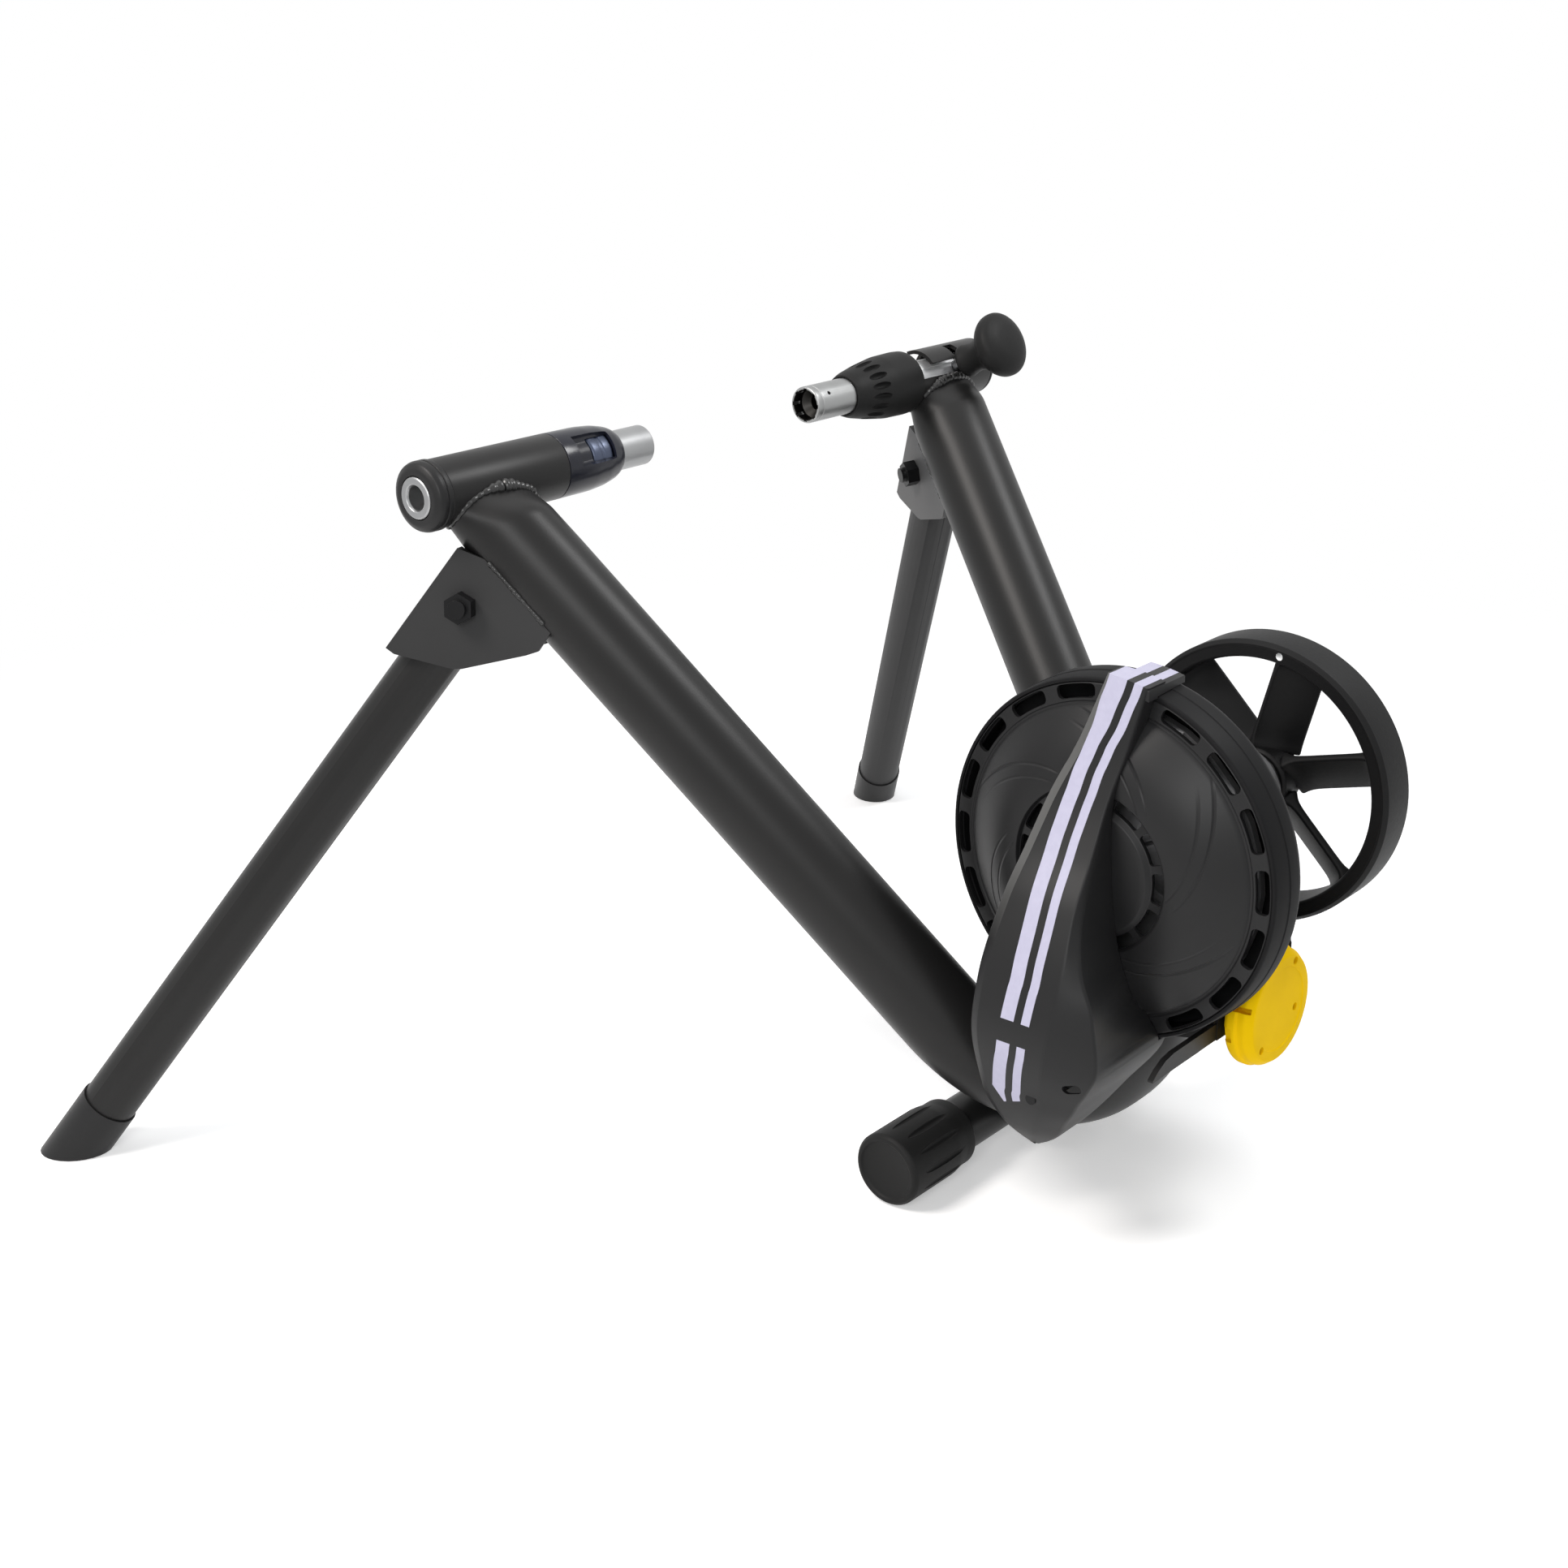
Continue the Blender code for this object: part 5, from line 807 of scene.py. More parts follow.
# %% Cover arm: its shell
PLAIN = (0.0, 1)
SKIN_ROUNDING = (PLAIN, (0.4, 2), (0.4, 2), (1.2, 3), (3.0, 4), PLAIN)
HOLLOW_ROUNDING = (PLAIN, (0.3, 1), (0.3, 1), (0.8, 2), (1.4, 3), PLAIN)
arm = arm_loft(0.0, ARM_LOW, ARM_HIGH, 72, SKIN_ROUNDING)
print("arm loft:", len(arm.verts), "points")
ground_point = Matrix.Translation(at(0, 0, 0))
strap_foot = HUB.z / MM + 60
lid = spun([(105.6, -120.0), (160.0, -120.0), (160.0, -20.0), (105.6, -20.0)], facing(HUB), 144)
arm = carved(arm, carved(lid, block((-200, -460, -10), (0, -180, strap_foot), ground_point)))
strap = spun([(98.9, -72.0), (104.6, -72.0, 0.8), (104.6, -38.0, 0.8), (98.9, -38.0)], facing(HUB), 144)
strap_box = block((-90, -347, strap_foot), (-20, -327, strap_foot + 70), ground_point)
arm = carved(arm, carved(strap, strap_box, "INTERSECT"), "UNION")
arm = carved(arm, arm_loft(ARM_WALL, 84.0, 294.0, 42, HOLLOW_ROUNDING))
room = [(0.0, -9.0), (100.9, -9.0), (100.9, -41.0), (99.8, -63.5), (95.8, -63.6), (88.3, -64.2)]
room += [(radius, x - 0.6) for radius, x in dome_line(16)] + [(34.6, -81.8), (0.0, -81.8)]
arm = carved(arm, spun(room, facing(HUB), 144, closed=False))
SCREW_WELL = Matrix.Translation(at(-131.0, -346.4, 117.4)) @ turned(-18.0)
arm = carved(arm, block((-9.0, -5.3, -2.65), (9.0, 5.3, 2.65), SCREW_WELL, 2.6, 5))
print("arm:", len(arm.faces), "faces")
cover_arm = piece("cover_arm_shell", arm, "cover_arm", edge=0.5, sharp=32.0)

# %% [markdown]
# A wide and a narrow stripe run down the arm, printed in pale lilac. They follow the arm's curve, so
# their left edge is a curve over height, which a colour ramp holds as a row of stops. How far a point
# lies behind that edge decides whether it is in the wide stripe, the gap or the narrow stripe. The
# stripes stop for a short bare band, and end in a slant at the bottom. The narrow facet along the upper
# part of the arm's left edge gets a paler colour: a painted highlight for the light that this edge catches.

# %% Stripes
STRIPE_LINE = ((95, -295.2), (104, -296.6), (129, -303.6), (166, -308.1), (182, -308.5), (198, -308.1),
               (213, -307.2), (228, -306.6), (243, -306.8), (259, -308.6), (275, -311.2), (292, -316.0),
               (310, -319.5), (322, -322.8))
STRIPE_LOW, STRIPE_HIGH = 95.0, 322.0
STRIPE_FROM, STRIPE_SPAN = -290.0, 40.0
WIDE, APART, NARROW = 8.2, 4.5, 5.2
WIDEN_FROM, WIDENED = 285.0, 3.6
BARE_BAND, WRAPS_FROM = (136.2, 149.2), 315.0
INK_DARK, INK_PALE = (0.43, 0.42, 0.55), (0.52, 0.51, 0.64)


def striped(finish, base):
    """Mix the stripes' print over a base colour; returns the print's own mask too."""
    y = (finish.axis("Y") - AXLE.y) * (1.0 / MM)
    z = finish.axis("Z") * (1.0 / MM)
    stops = [((height - STRIPE_LOW) / (STRIPE_HIGH - STRIPE_LOW), (STRIPE_FROM - left) / STRIPE_SPAN)
             for height, left in STRIPE_LINE]
    curve = finish.ramp((z - STRIPE_LOW) * (1.0 / (STRIPE_HIGH - STRIPE_LOW)), stops, "CARDINAL")
    behind = (STRIPE_FROM - curve * STRIPE_SPAN) - y
    widen = finish.ramp((z - WIDEN_FROM) * 0.04, [(0.0, 0.0), (1.0, 1.0)])
    wide = widen * WIDENED + WIDE
    first = behind.above(0.0) * (wide - behind).above(0.0)
    second = (behind - wide).above(APART) * (behind - wide).below(APART + NARROW)
    lower_end = finish.maths("MAXIMUM", (y + 301.0) * 1.8 + 94.9, (-305.8 - y) * 0.41 + 95.2)
    bare = z.above(BARE_BAND[0]) * z.below(BARE_BAND[1])
    outward = finish.maths("MAXIMUM", finish.facing("X").below(-0.25), z.above(WRAPS_FROM))
    mask = (first + second) * (z - lower_end).above(0.0) * (1.0 - bare) * outward
    ink = finish.mix(finish.noise(260.0, 3.0, 0.6), INK_DARK, INK_PALE)
    return finish.mix(mask, base, ink), mask


# Painted highlight: the narrow facet on the arm's upper left edge is picked by its normal. It gets a paler colour
# that fades in above a height, in place of the light that this edge catches.
PAINTED_SHEEN_FROM, PAINTED_SHEEN = 185.0, (0.1, 0.1, 0.098)
arm_finish = moulded("moulded_arm", (0.012, 0.012, 0.0125), 0.42)
facet = arm_finish.facing("X").below(-0.5) * arm_finish.facing("Y").above(0.12)
fade_in = (arm_finish.axis("Z") * (1.0 / MM) - PAINTED_SHEEN_FROM) * 0.025
facet = facet * arm_finish.ramp(fade_in, [(0.0, 0.0), (1.0, 1.0)])
with_painted_sheen = arm_finish.mix(facet, arm_finish.colour, PAINTED_SHEEN)
arm_colour, stripe_mask = striped(arm_finish, with_painted_sheen)
arm_finish.put("Base Color", arm_colour)
arm_finish.bump(stripe_mask, 0.06 * MM, 0.6)
cover_arm.data.materials[0] = arm_finish.material

# %% [markdown]
# The flywheel is one casting: a rim, a hub with a raised boss, and six flat blades pitched like a fan's.
# Where a blade meets the rim or the hub the metal thickens in a fillet, so each blade is a bar with
# rings added along it, and the rings near both ends are swollen. A drilled spot balances the rim.

# %% Flywheel
BLADES, BLADE_PITCH, BLADE_PHASE, BLADE_X = 6, 47.7, 104.6, 103.5
BLADE_IN, BOSS_RADIUS, RIM_INSIDE, BLADE_OUT, BLADE_RINGS = 17.0, 20.0, 73.6, 76.0, 24


def blade(angle):
    bm = block((-15.0, BLADE_IN, -2.3), (15.0, BLADE_OUT, 2.3), rounding=1.6, segments=4)
    for k in range(1, BLADE_RINGS):
        cut_at = (BLADE_IN + (BLADE_OUT - BLADE_IN) * k / BLADE_RINGS) * MM
        bmesh.ops.bisect_plane(bm, geom=bm.verts[:] + bm.edges[:] + bm.faces[:], dist=1e-6,
                               plane_co=(0.0, cut_at, 0.0), plane_no=(0.0, 1.0, 0.0))
    for vert in bm.verts:
        reach = vert.co.y / MM
        from_boss, from_rim = max(0.0, reach - BOSS_RADIUS), max(0.0, RIM_INSIDE - reach)
        swell = math.exp(-from_boss / 3.0) + math.exp(-from_rim / 2.6)
        vert.co.z *= 1.0 + 1.3 * swell
        vert.co.x *= 1.0 - 0.02 * swell
    bmesh.ops.transform(bm, matrix=Matrix.Translation(along_x(HUB, BLADE_X)) @ turned(angle)
                        @ turned(-BLADE_PITCH, "Y"), verts=bm.verts)
    return bm


rim = spun([(RIM_INSIDE, 87.6, 1.2), (75.2, 86.4, 0.4), (80.6, 86.4, 0.3), (81.2, 86.0, 0.2),
            (81.9, 86.0, 0.2), (84.0, 88.6, 0.3), (84.0, 112.4, 0.3), (81.9, 115.0, 0.3),
            (RIM_INSIDE, 115.0, 1.4)], facing(HUB), 160)
SPOT = HUB + Matrix.Rotation(math.radians(99.0), 3, "X") @ Vector((0.0, 78.3 * MM, 0.0))
rim = carved(rim, rod(along_x(SPOT, 80), along_x(SPOT, 89), 2.3, 24))
boss = spun([(6.3, 84.1, 0.3), (12.0, 84.1, 0.6), (13.0, 88.0), (15.6, 88.6, 0.4), (16.2, 90.0, 0.4),
             (18.0, 89.4, 0.6), (BOSS_RADIUS, 91.1, 0.8), (BOSS_RADIUS, 108.5, 0.8), (18.5, 110.0, 0.8),
             (6.3, 110.0, 0.3)], facing(HUB), 96)
blades = [blade(BLADE_PHASE + 360.0 / BLADES * k) for k in range(BLADES)]
piece("fan_flywheel", together(rim, boss, *blades), "flywheel", sharp=40.0)
drilled = spun([(0.0, 88.2), (2.25, 87.2), (2.25, 88.6), (0.0, 89.4)], facing(SPOT), 24, closed=False)
finish_piece(object_of("balance_spot", drilled), zinc_painted_lit, "rotor")
print("flywheel with", BLADES, "blades")

# %% [markdown]
# The main tube is bent once at the bottom, and both upper ends are pressed oval to meet the thinner
# head tubes. Rings along the bent line make the tube; the rings near the ends are squeezed by the same
# smooth step that the press leaves. The slot through the right head runs on into the tube's end.

# %% Main tube
RAKE = math.radians(41.0)
DOWN = Vector((0.0, -math.sin(RAKE), -math.cos(RAKE)))
ASIDE = Vector((0.0, -math.cos(RAKE), math.sin(RAKE)))
HEAD_X, DROP, BEND, FLAT, TUBE = 205.1, 443.9, 100.0, 5.0, 25.4
LEAN = math.atan2(HEAD_X - FLAT, DROP - BEND) - math.asin(BEND / math.hypot(HEAD_X - FLAT, DROP - BEND))
HEAD, PRESS_FROM, PRESS_TO, PRESSED = 18.6, 8.0, 36.0, 14.0


def in_frame(x, drop):
    """A place in the tube's leaning plane, from its x and its distance below the axle line."""
    return AXLE + Vector((x * MM, 0.0, 0.0)) + DOWN * (drop * MM)


def straight_x(drop):
    """How far from the middle plane the tube's straight side stands, at a distance below the axle line."""
    return HEAD_X - drop * math.tan(LEAN)


def tube_line():
    """The whole bent line as (x, drop): down the right side, round the bend and up the left."""
    bend_drop = DROP - BEND
    side = [(straight_x(drop), drop) for drop in (3, *range(8, 37, 2), 60, 120, 180, 240, 300, 340)]
    angles = [(math.pi / 2 - LEAN) * (1.0 - k / 24.0) for k in range(25)]
    bent = [(FLAT + BEND * math.sin(a), bend_drop + BEND * math.cos(a)) for a in angles]
    side = [p for p in side if p[1] < bent[0][1] - 2.0] + bent
    return side + [(-x, drop) for x, drop in reversed(side)]


def pressed(place):
    """Move a point of the round tube to where the press leaves it."""
    offset = place - AXLE
    drop = offset.dot(DOWN) / MM
    if drop >= PRESS_TO:
        return place
    t = max(0.0, (drop - PRESS_FROM) / (PRESS_TO - PRESS_FROM))
    narrow = PRESSED / TUBE
    factor = narrow + (1.0 - narrow) * t * t * (3.0 - 2.0 * t)
    middle = math.copysign(straight_x(drop) * MM, offset.x)
    shifted = place + ASIDE * (offset.dot(ASIDE) * (factor - 1.0))
    shifted.x += (offset.x - middle) * (1.0 - factor) * 0.35
    return shifted


def tube_ring(previous, here, following, radius, count=64):
    """Points round the tube's line, in the plane that halves the bend at this place."""
    before = (here - previous).normalized() if previous else (following - here).normalized()
    after = (following - here).normalized() if following else before
    middle = (before + after).normalized()
    across = middle.cross(ASIDE).normalized()
    stretch = 1.0 / max(0.5, middle.dot(after))
    return [pressed(here + (ASIDE * math.cos(a) + across * math.sin(a) * stretch) * radius * MM)
            for a in (2.0 * math.pi * k / count for k in range(count))]


line = [in_frame(x, drop) for x, drop in tube_line()]
rings = [tube_ring(a, b, c, TUBE) for a, b, c in zip([None] + line[:-1], line, line[1:] + [None])]
tube = loft([(ring, ()) for ring in rings])
tube_skin = BVHTree.FromBMesh(tube)
saddle = rod(along_x(AXLE, -270), along_x(AXLE, 270), HEAD + 0.3, 64)
HANDLE_UP = math.radians(26.0)
sweep_matrix = Matrix.Translation(AXLE) @ Matrix.Rotation(-HANDLE_UP, 4, "X")
tube = carved(tube, saddle)
tube = carved(tube, block((165.0, -60.0, -5.6), (227.0, 0.0, 11.0), sweep_matrix))
piece("main_tube", tube, "frame_tube", sharp=40.0)
print("main tube:", len(line), "rings, leaning", round(math.degrees(LEAN), 1), "degrees each way")

# %% [markdown]
# The two head tubes hold the axle pins. On the left a moulded cap closes the outer end round the pin,
# and a glossy nose with an oval window shows the lock nut inside. All of these are spun about the axle
# line, so each is only an outline here.

# %% Left head
HEAD_BORE, CAP_PLUG, PIN, PIN_BORE = 16.2, 15.9, 11.5, 11.9
axle = facing(AXLE)


def on_axle(name, node, outline, material=None, steps=96, closed=True):
    """A piece that is nothing but an outline spun about the axle line."""
    return piece(name, spun(outline, axle, steps, closed), node, material)


on_axle("left_head", "left_head_tube",
        [(HEAD_BORE, -232.6), (HEAD, -232.6, 0.5), (HEAD, -148.0, 0.5), (HEAD_BORE, -148.0)])
on_axle("left_cap", "left_end_cap",
        [(PIN_BORE, -243.3, 0.4), (15.2, -243.3, 0.9), (18.3, -241.6, 0.9), (19.2, -239.0, 0.6),
         (19.2, -237.2, 0.2), (HEAD, -236.9), (HEAD, -236.1), (19.2, -235.8, 0.2), (19.2, -232.9, 0.4),
         (CAP_PLUG, -232.9), (CAP_PLUG, -220.9), (PIN_BORE, -220.9)])
nose = spun([(PIN_BORE, -100.0, 0.5), (13.4, -100.0, 0.9), (15.4, -104.0, 2.0), (17.4, -113.0, 2.0),
             (18.4, -124.0, 2.0), (HEAD, -147.7, 0.3), (CAP_PLUG, -147.7), (CAP_PLUG, -141.0),
             (PIN_BORE, -141.0)], axle, 96)
nose = carved(nose, rod(along_x(AXLE, -126), along_x(AXLE, -109), 15.0, 64))
nose = carved(nose, vent_block(13.9, 26.0, -138.0, -110.0, 118.0, 60.0, 6.0, AXLE))
piece("left_nose_shell", nose, "left_nose", glossy_plastic, edge=0.4)
on_axle("left_nut", "left_lock_nut",
        [(PIN_BORE, -125.0, 0.3), (13.8, -125.0, 0.4), (14.6, -123.8, 0.3), (14.6, -119.0, 0.3),
         (14.1, -118.4), (14.1, -116.6), (14.6, -116.0, 0.3), (14.6, -111.2, 0.3), (13.8, -110.0, 0.4),
         (PIN_BORE, -110.0, 0.3)], blued_zinc, steps=64)
on_axle("left_axle_pin_part", "left_pin",
        [(8.6, -73.6, 0.5), (10.7, -73.6, 0.5), (PIN, -74.4, 0.4), (PIN, -243.2, 0.4), (10.7, -244.0, 0.5),
         (7.4, -244.0, 0.5), (6.6, -242.4, 0.3), (6.6, -228.0), (5.2, -226.0), (5.2, -84.6), (8.6, -82.6)])
print("left head done")

# %% [markdown]
# On the right the pin screws in with a collar that has finger rests pressed into its side, and a handle
# locks it. The tube has an L-shaped slot: a run along it, and a notch over its top for each of the
# handle's two places. Behind the inner notch the far wall is open too, so light comes through. The
# pin's bore has eight short splines at its mouth.

# %% Right head
LOCK_X, PARK_X, STEM_ROOM = 176.0, 216.0, 4.5
NOTCHES = ((LOCK_X - STEM_ROOM, LOCK_X + 10.5, 8.0, 160.0, 0.0),
           (PARK_X - STEM_ROOM, PARK_X + STEM_ROOM, 98.0, 70.0, 0.0),
           (LOCK_X - STEM_ROOM, LOCK_X + 33.0, 2.0, 64.0, 3.0))
head = spun([(HEAD_BORE, 140.0), (HEAD, 140.0, 0.4), (HEAD, 246.0, 0.4), (HEAD_BORE, 246.0)], axle, 96)
head = carved(head, block((LOCK_X - STEM_ROOM, -30.0, -STEM_ROOM), (PARK_X + STEM_ROOM, -10.0, STEM_ROOM),
                          sweep_matrix))
for notch_low, notch_high, start, sweep, rounding in NOTCHES:
    head = carved(head, vent_block(12.6, 26.0, notch_low, notch_high, start, sweep, rounding, AXLE))
piece("right_head", head, "right_head_tube", edge=0.4)
on_axle("right_cap", "right_end_cap",
        [(0.0, 253.0), (12.6, 252.2, 2.0), (17.6, 249.6, 1.6), (HEAD, 248.0, 0.6), (HEAD, 246.3, 0.3),
         (CAP_PLUG, 246.3), (CAP_PLUG, 238.0), (0.0, 238.0)], closed=False)


def ring_of_dents(count, phase, size, place, smooth):
    """Egg-shaped cutters in a ring round X, with their half sizes and first place in millimetres."""
    bm = bmesh.new()
    for k in range(count):
        egg = bmesh.ops.create_uvsphere(bm, u_segments=smooth[0], v_segments=smooth[1], radius=1.0)["verts"]
        bmesh.ops.scale(bm, vec=[v * MM for v in size], verts=egg)
        bmesh.ops.translate(bm, vec=[v * MM for v in place], verts=egg)
        bmesh.ops.rotate(bm, cent=(0, 0, 0), matrix=turned(360.0 / count * k + phase), verts=egg)
    return bm


collar = spun([(PIN_BORE, 111.0, 0.3), (13.2, 111.0, 0.5), (15.0, 116.0, 1.5), (17.6, 129.0, 2.0),
               (20.2, 147.0, 2.0), (20.6, 165.0, 1.5), (20.2, 171.0, 0.8), (18.9, 171.0, 0.3),
               (18.9, 139.7), (PIN_BORE, 139.7)], axle, 120)
finger_rests = ring_of_dents(16, 4.0, (8.6, 2.5, 4.4), (129.5, 0.0, 18.9), (20, 14))
bmesh.ops.translate(finger_rests, vec=AXLE, verts=finger_rests.verts)
piece("ribbed_collar", carved(collar, finger_rests), "right_collar", cap_plastic, edge=0.4)

SPLINES, CROSS_HOLE = 8, Vector((0.0, -0.80, 0.60))
pin = spun([(9.4, 73.6, 0.3), (10.9, 73.6, 0.4), (PIN, 74.4, 0.3), (PIN, 77.8, 0.2), (11.1, 78.2),
            (11.1, 79.0), (PIN, 79.4, 0.2), (PIN, 167.0), (5.2, 167.0), (5.2, 85.6), (9.4, 81.6)], axle, 96)
splines = [block((71.0, 8.0, -1.2), (80.0, 10.4, 1.2), axle @ turned(360.0 / SPLINES * k))
           for k in range(SPLINES)]
pin = carved(pin, together(*splines))
hole_at = along_x(AXLE, 86)
pin = carved(pin, rod(hole_at + CROSS_HOLE * 8 * MM, hole_at + CROSS_HOLE * 14 * MM, 1.3, 20))
piece("right_axle_pin_part", pin, "right_pin", zinc_with_shaded_bore, edge=0.2)
smooth_node("handle_stem")
# The clamp bolt takes the paler zinc: painted light for a bolt that sits in the slot's shade.
for place in frame["nodes"]["clamp_bolt"].material_slots:
    place.material = zinc_painted_lit
bpy.data.objects["clamp_bolt_skin"].data.materials[0] = zinc_painted_lit

HANDLE_WAY = Vector((0.0, -math.cos(HANDLE_UP), math.sin(HANDLE_UP)))
grip = spun([(4.2, 21.4, 0.3), (10.8, 21.4, 0.8), (11.2, 23.6, 0.8), (9.9, 28.4, 3.0), (10.2, 35.0, 3.0),
             (14.2, 41.9, 3.0), (20.2, 47.4, 3.0), (21.8, 52.4, 2.5), (20.6, 57.4, 3.0), (13.0, 61.4, 3.0),
             (0.0, 63.0), (0.0, 44.3), (3.3, 44.3), (3.3, 26.7), (4.2, 25.6)],
            facing(HANDLE, HANDLE_WAY), 96, closed=False)
piece("handle_grip", grip, "handle_knob", cap_plastic)
print("right head done")

# %% [markdown]
# Ribbed caps close the cross tube. The mould gives each one a raised ring round a flat face and twelve
# flutes along its side, so that a foot can turn it.

# %% Cross tube caps
CROSS, CROSS_HALF = at(0.0, -222.4, 21.75), 65.5


def cross_cap(name, side):
    outline = [(0.0, 57.6), (15.8, 57.4), (17.0, 57.9, 0.3), (17.9, 59.0, 0.3), (20.0, 59.0, 0.8),
               (21.75, 56.6, 0.9), (21.75, 17.0, 1.5), (20.4, 8.6, 1.5), (20.4, 1.6, 0.6), (19.4, 0.0, 0.3),
               (16.2, 0.0), (16.2, 53.3), (0.0, 53.3)]
    matrix = facing(along_x(CROSS, side * CROSS_HALF), (side, 0, 0))
    cap = spun(outline, matrix, 120, closed=False)
    flutes = ring_of_dents(12, 7.0, (19, 2.2, 1.7), (31.0, 0.0, 22.0), (16, 10))
    bmesh.ops.transform(flutes, matrix=matrix, verts=flutes.verts)
    return piece(name + "_fluted", carved(cap, flutes), name, cap_plastic, edge=0.4)


cross_cap("cross_cap_left", -1)
cross_cap("cross_cap_right", 1)

# %% [markdown]
# The yellow clutch knob presses the roller on the tyre. It has a low skirt, a bevelled face with three
# small holes, and slots in its side where the clutch's pawls sit.

# %% Clutch knob
KNOB_HOLES = ((62.0, 27.0), (-136.0, 26.0), (-17.0, 17.0))
KNOB_SLOTS = ((164.0, 3.2, 5.4, 16.4, 8.0), (-15.0, 3.2, 5.4, 16.4, 8.0), (192.0, 9.0, -2.0, 7.2, 3.4))
KNOB_RADIUS, BACKWARD = 34.6, (0, -1, 0)
print("knob seat in mm from the axle:", [round(v / MM, 1) for v in KNOB_SEAT - AXLE])
knob_low, knob_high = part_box("clutch_knob")
knob_face, knob_back = knob_low.y, knob_high.y
knob_middle = Vector((0.0, knob_back, KNOB_SEAT.z))
outline = [(5.0, 0.0, 0.4), (26.0, 0.0, 0.6), (33.4, 2.8, 0.8), (34.4, 4.8, 0.7), (34.4, 9.0, 0.4),
           (33.0, 10.0, 0.3), (33.0, 13.6, 0.9), (29.6, 18.0, 0.9), (24.0, 18.0), (23.6, 17.6),
           (0.0, 17.6), (0.0, 15.6), (5.0, 15.6)]
knob = spun(outline, facing(knob_middle, BACKWARD), 128, closed=False)
marks = []
for degrees, radius in KNOB_HOLES:
    way = Vector((math.cos(math.radians(degrees)), 0.0, math.sin(math.radians(degrees))))
    place = Vector((0.0, knob_face, KNOB_SEAT.z)) + way * radius * MM
    marks.append(rod(place - Vector((0, 5 * MM, 0)), place + Vector((0, 6 * MM, 0)), 2.3, 28))
for degrees, width, low, high, depth in KNOB_SLOTS:
    turn = Matrix.Translation(knob_middle) @ turned(-degrees, "Y")
    marks.append(block((KNOB_RADIUS - depth, -high, -width / 2), (42.0, -low, width / 2), turn, 0.5))
for mark in marks:
    knob = carved(knob, mark)
piece("knob_shell", knob, "clutch_knob", edge=0.35)

# %% [markdown]
# Weld beads say more about a steel frame than its tubes do. A bead is a small rope of metal with
# ripples a few millimetres apart. Round a head tube its line is found, not drawn: points near the seam
# are moved back and forth between the two surfaces until they lie on both. Along a leg bracket's cheeks
# the seam is straight, beside the main tube's own line.

# %% Weld beads
THICK_WELD = (195.0, -18.0, 398.0)
COLLAR_END = 173.0
SEAM_OFFSETS = {1: (-3.2, 25.2), -1: (-23.9, -9.6)}


def rippled_bead(points, radius, thick_at=None):
    """A rope of rings along a line, thicker and thinner as a welder's steps leave it."""
    rings = []
    for k, here in enumerate(points):
        after, before = points[min(k + 1, len(points) - 1)], points[max(k - 1, 0)]
        ahead = (after - before).normalized()
        side = ahead.orthogonal().normalized()
        up = ahead.cross(side)
        ripple = radius * MM * (0.8 + 0.3 * abs(math.sin(k * 0.61)) + 0.16 * math.sin(k * 0.23 + 1.0))
        if thick_at:
            ripple *= 1.0 + 1.5 * math.exp(-((here - thick_at).length / (17.0 * MM)) ** 2)
        if k in (0, len(points) - 1):
            ripple *= 0.55
        rings.append(([here + (side * math.cos(a) + up * math.sin(a)) * ripple
                       for a in (2.0 * math.pi * n / 12 for n in range(12))], ()))
    return loft(rings)


def onto_head(place):
    """The nearest point of the head tube's round surface."""
    out = Vector((0.0, place.y - AXLE.y, place.z - AXLE.z)).normalized()
    return Vector((place.x, AXLE.y, AXLE.z)) + out * (HEAD * MM)


def tube_middle(side, drop):
    return in_frame(side * straight_x(drop), drop)


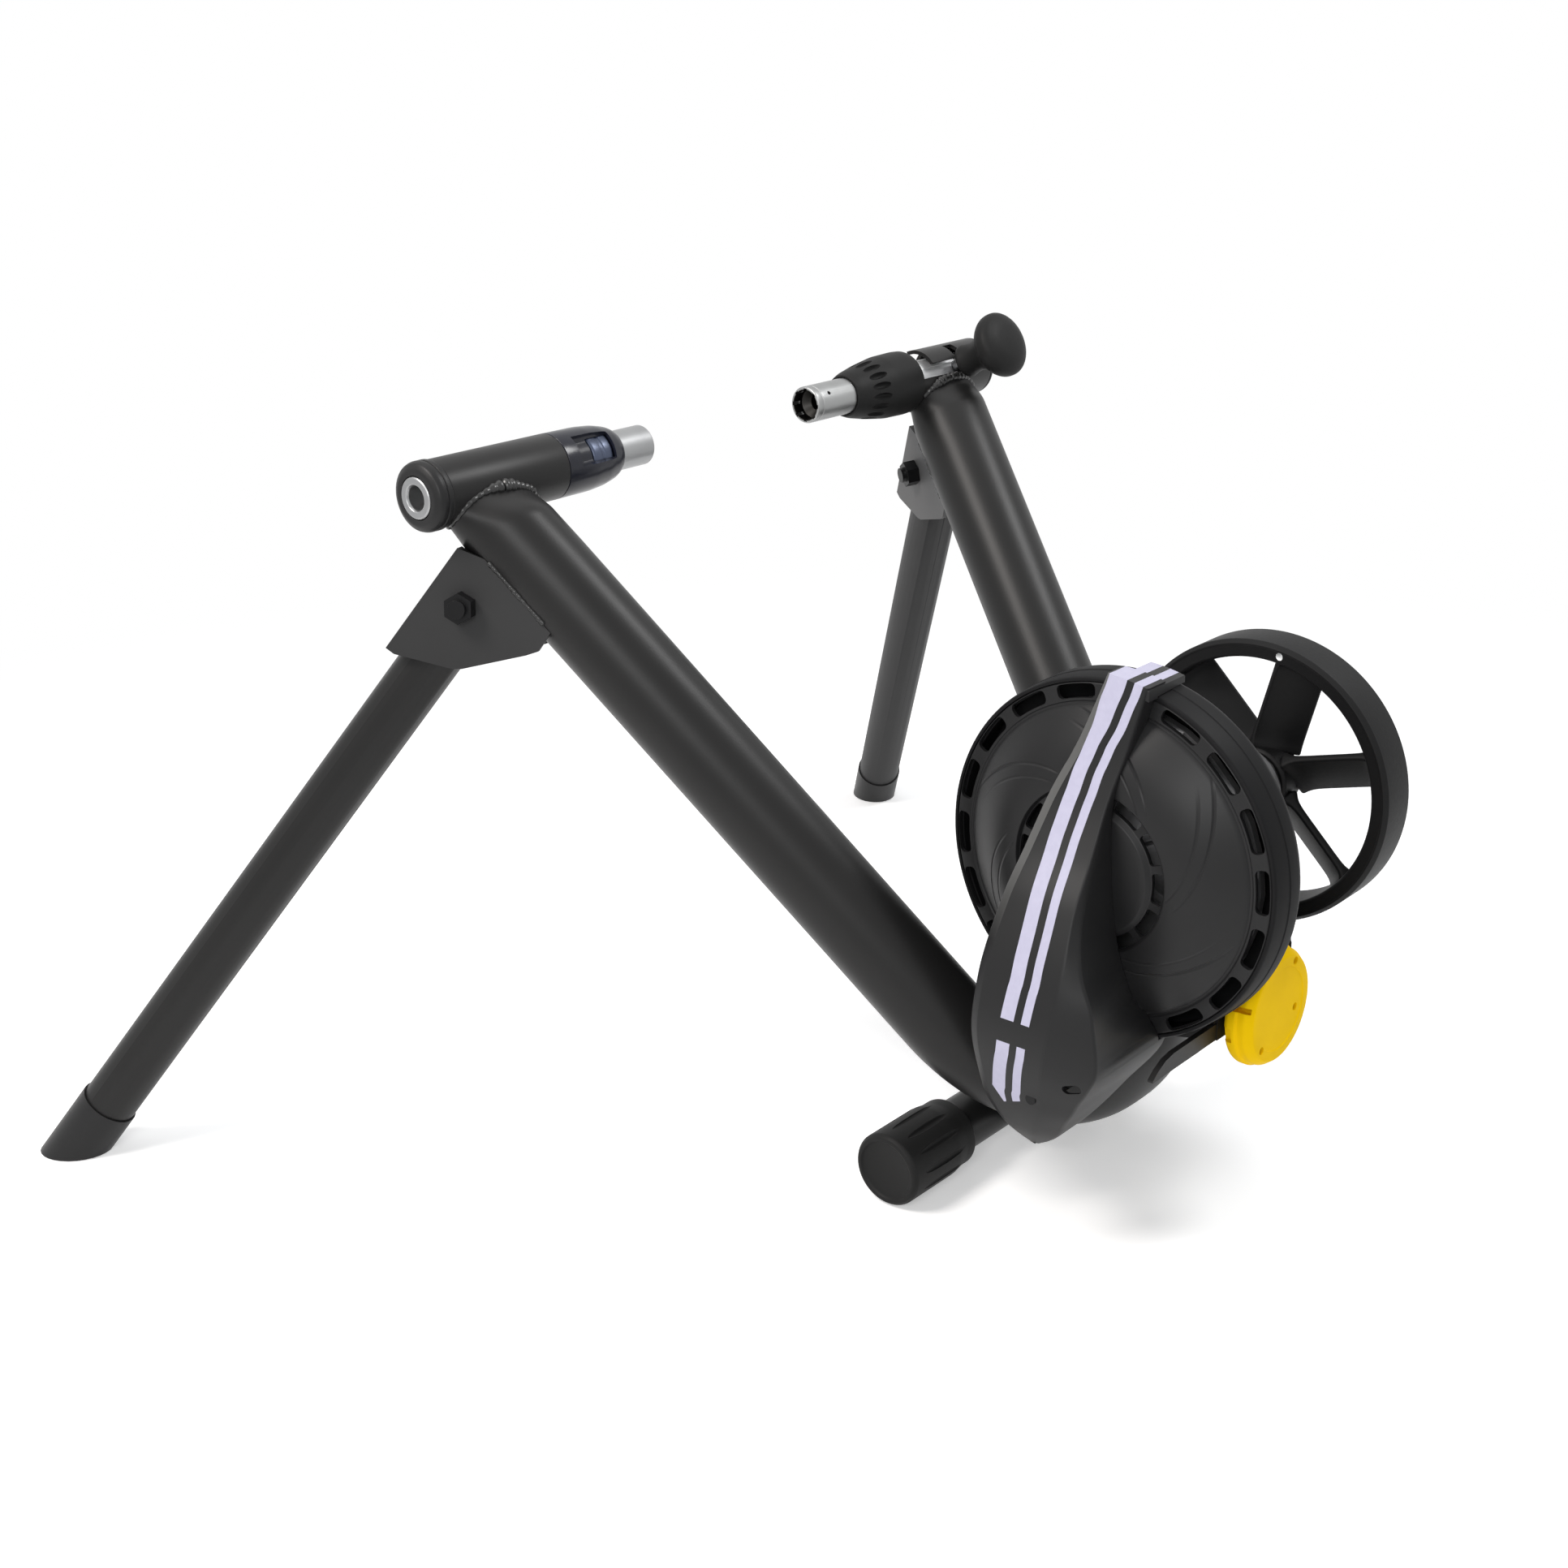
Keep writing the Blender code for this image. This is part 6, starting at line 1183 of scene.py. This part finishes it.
def head_seam(side, count=170):
    """The line where the main tube meets a head tube, without the part that the collar hides."""
    centre = tube_middle(side, 20.0)
    across = (tube_middle(side, 40.0) - centre).normalized().cross(ASIDE).normalized()
    places = []
    for k in range(count + 1):
        a = 2.0 * math.pi * k / count
        place = centre + (ASIDE * math.cos(a) + across * math.sin(a)) * TUBE * MM
        for _ in range(24):
            place = onto_head(place)
            place = tube_skin.find_nearest(place)[0]
        places.append(place)
    if side < 0:
        return places
    hidden = next(k for k, place in enumerate(places) if place.x < COLLAR_END * MM)
    return [place for place in places[hidden:] + places[:hidden] if place.x > COLLAR_END * MM]


def bracket_seam(side, flank):
    """The line where one cheek of a leg bracket meets the main tube."""
    start, end = (tube_middle(side, drop) for drop in (37.0, 80.0))
    outward = (end - start).cross(ASIDE).normalized()
    outward *= math.copysign(1.0, outward.x * side)
    aside, out = SEAM_OFFSETS[flank]
    offset = ASIDE * (aside * MM) + outward * (out * MM)
    return [start.lerp(end, k / 60.0) + offset for k in range(61)]


x, y, z = THICK_WELD
beads = [rippled_bead(head_seam(side), 1.5, at(side * x, y, z)) for side in (-1, 1)]
beads += [rippled_bead(bracket_seam(side, flank), 1.4) for side in (-1, 1) for flank in (-1, 1)]
finish_piece(object_of("weld_beads", together(*beads), 60.0), bead_paint, "stand")
print("weld beads:", len(beads))

# %% [markdown]
# The brackets and the yoke are cut from plate. Their CAD shapes are right, so they mostly need the small
# radius that a laser-cut edge keeps under its paint. The yoke's tab also gets a tapered tip that runs
# on towards the cover arm's foot.

# %% Plates
PLATE_EDGE, TAB_BACK, TAB_FRONT, TAB_LOW = 0.7, -374.65, -371.35, 117.35
TIP_TOPS = ((-50.0, 127.05), (-76.0, 127.0), (-84.0, 125.6), (-91.0, 122.2), (-96.0, 118.4))
for node, material in (("left_leg_bracket", grey_paint), ("right_leg_bracket", pale_paint),
                       ("unit_bracket", black_paint)):
    smooth_node(node, material, 30.0, PLATE_EDGE)
tip = loft([([at(x, y, z) for y, z in ((TAB_BACK, TAB_LOW), (TAB_FRONT, TAB_LOW), (TAB_FRONT, top),
                                       (TAB_BACK, top))], ()) for x, top in TIP_TOPS])
piece("yoke_skin", together(merged_copy("yoke"), tip), "yoke", black_paint, 30.0, PLATE_EDGE)
smooth_node("roller")

# %% [markdown]
# The visual model's box is printed, in millimetres. The visual model has to stay inside the CAD
# model's box.

# %% Size of the visual model
low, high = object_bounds()
print("visual box in mm:", [round(v / MM, 1) for v in high - low])
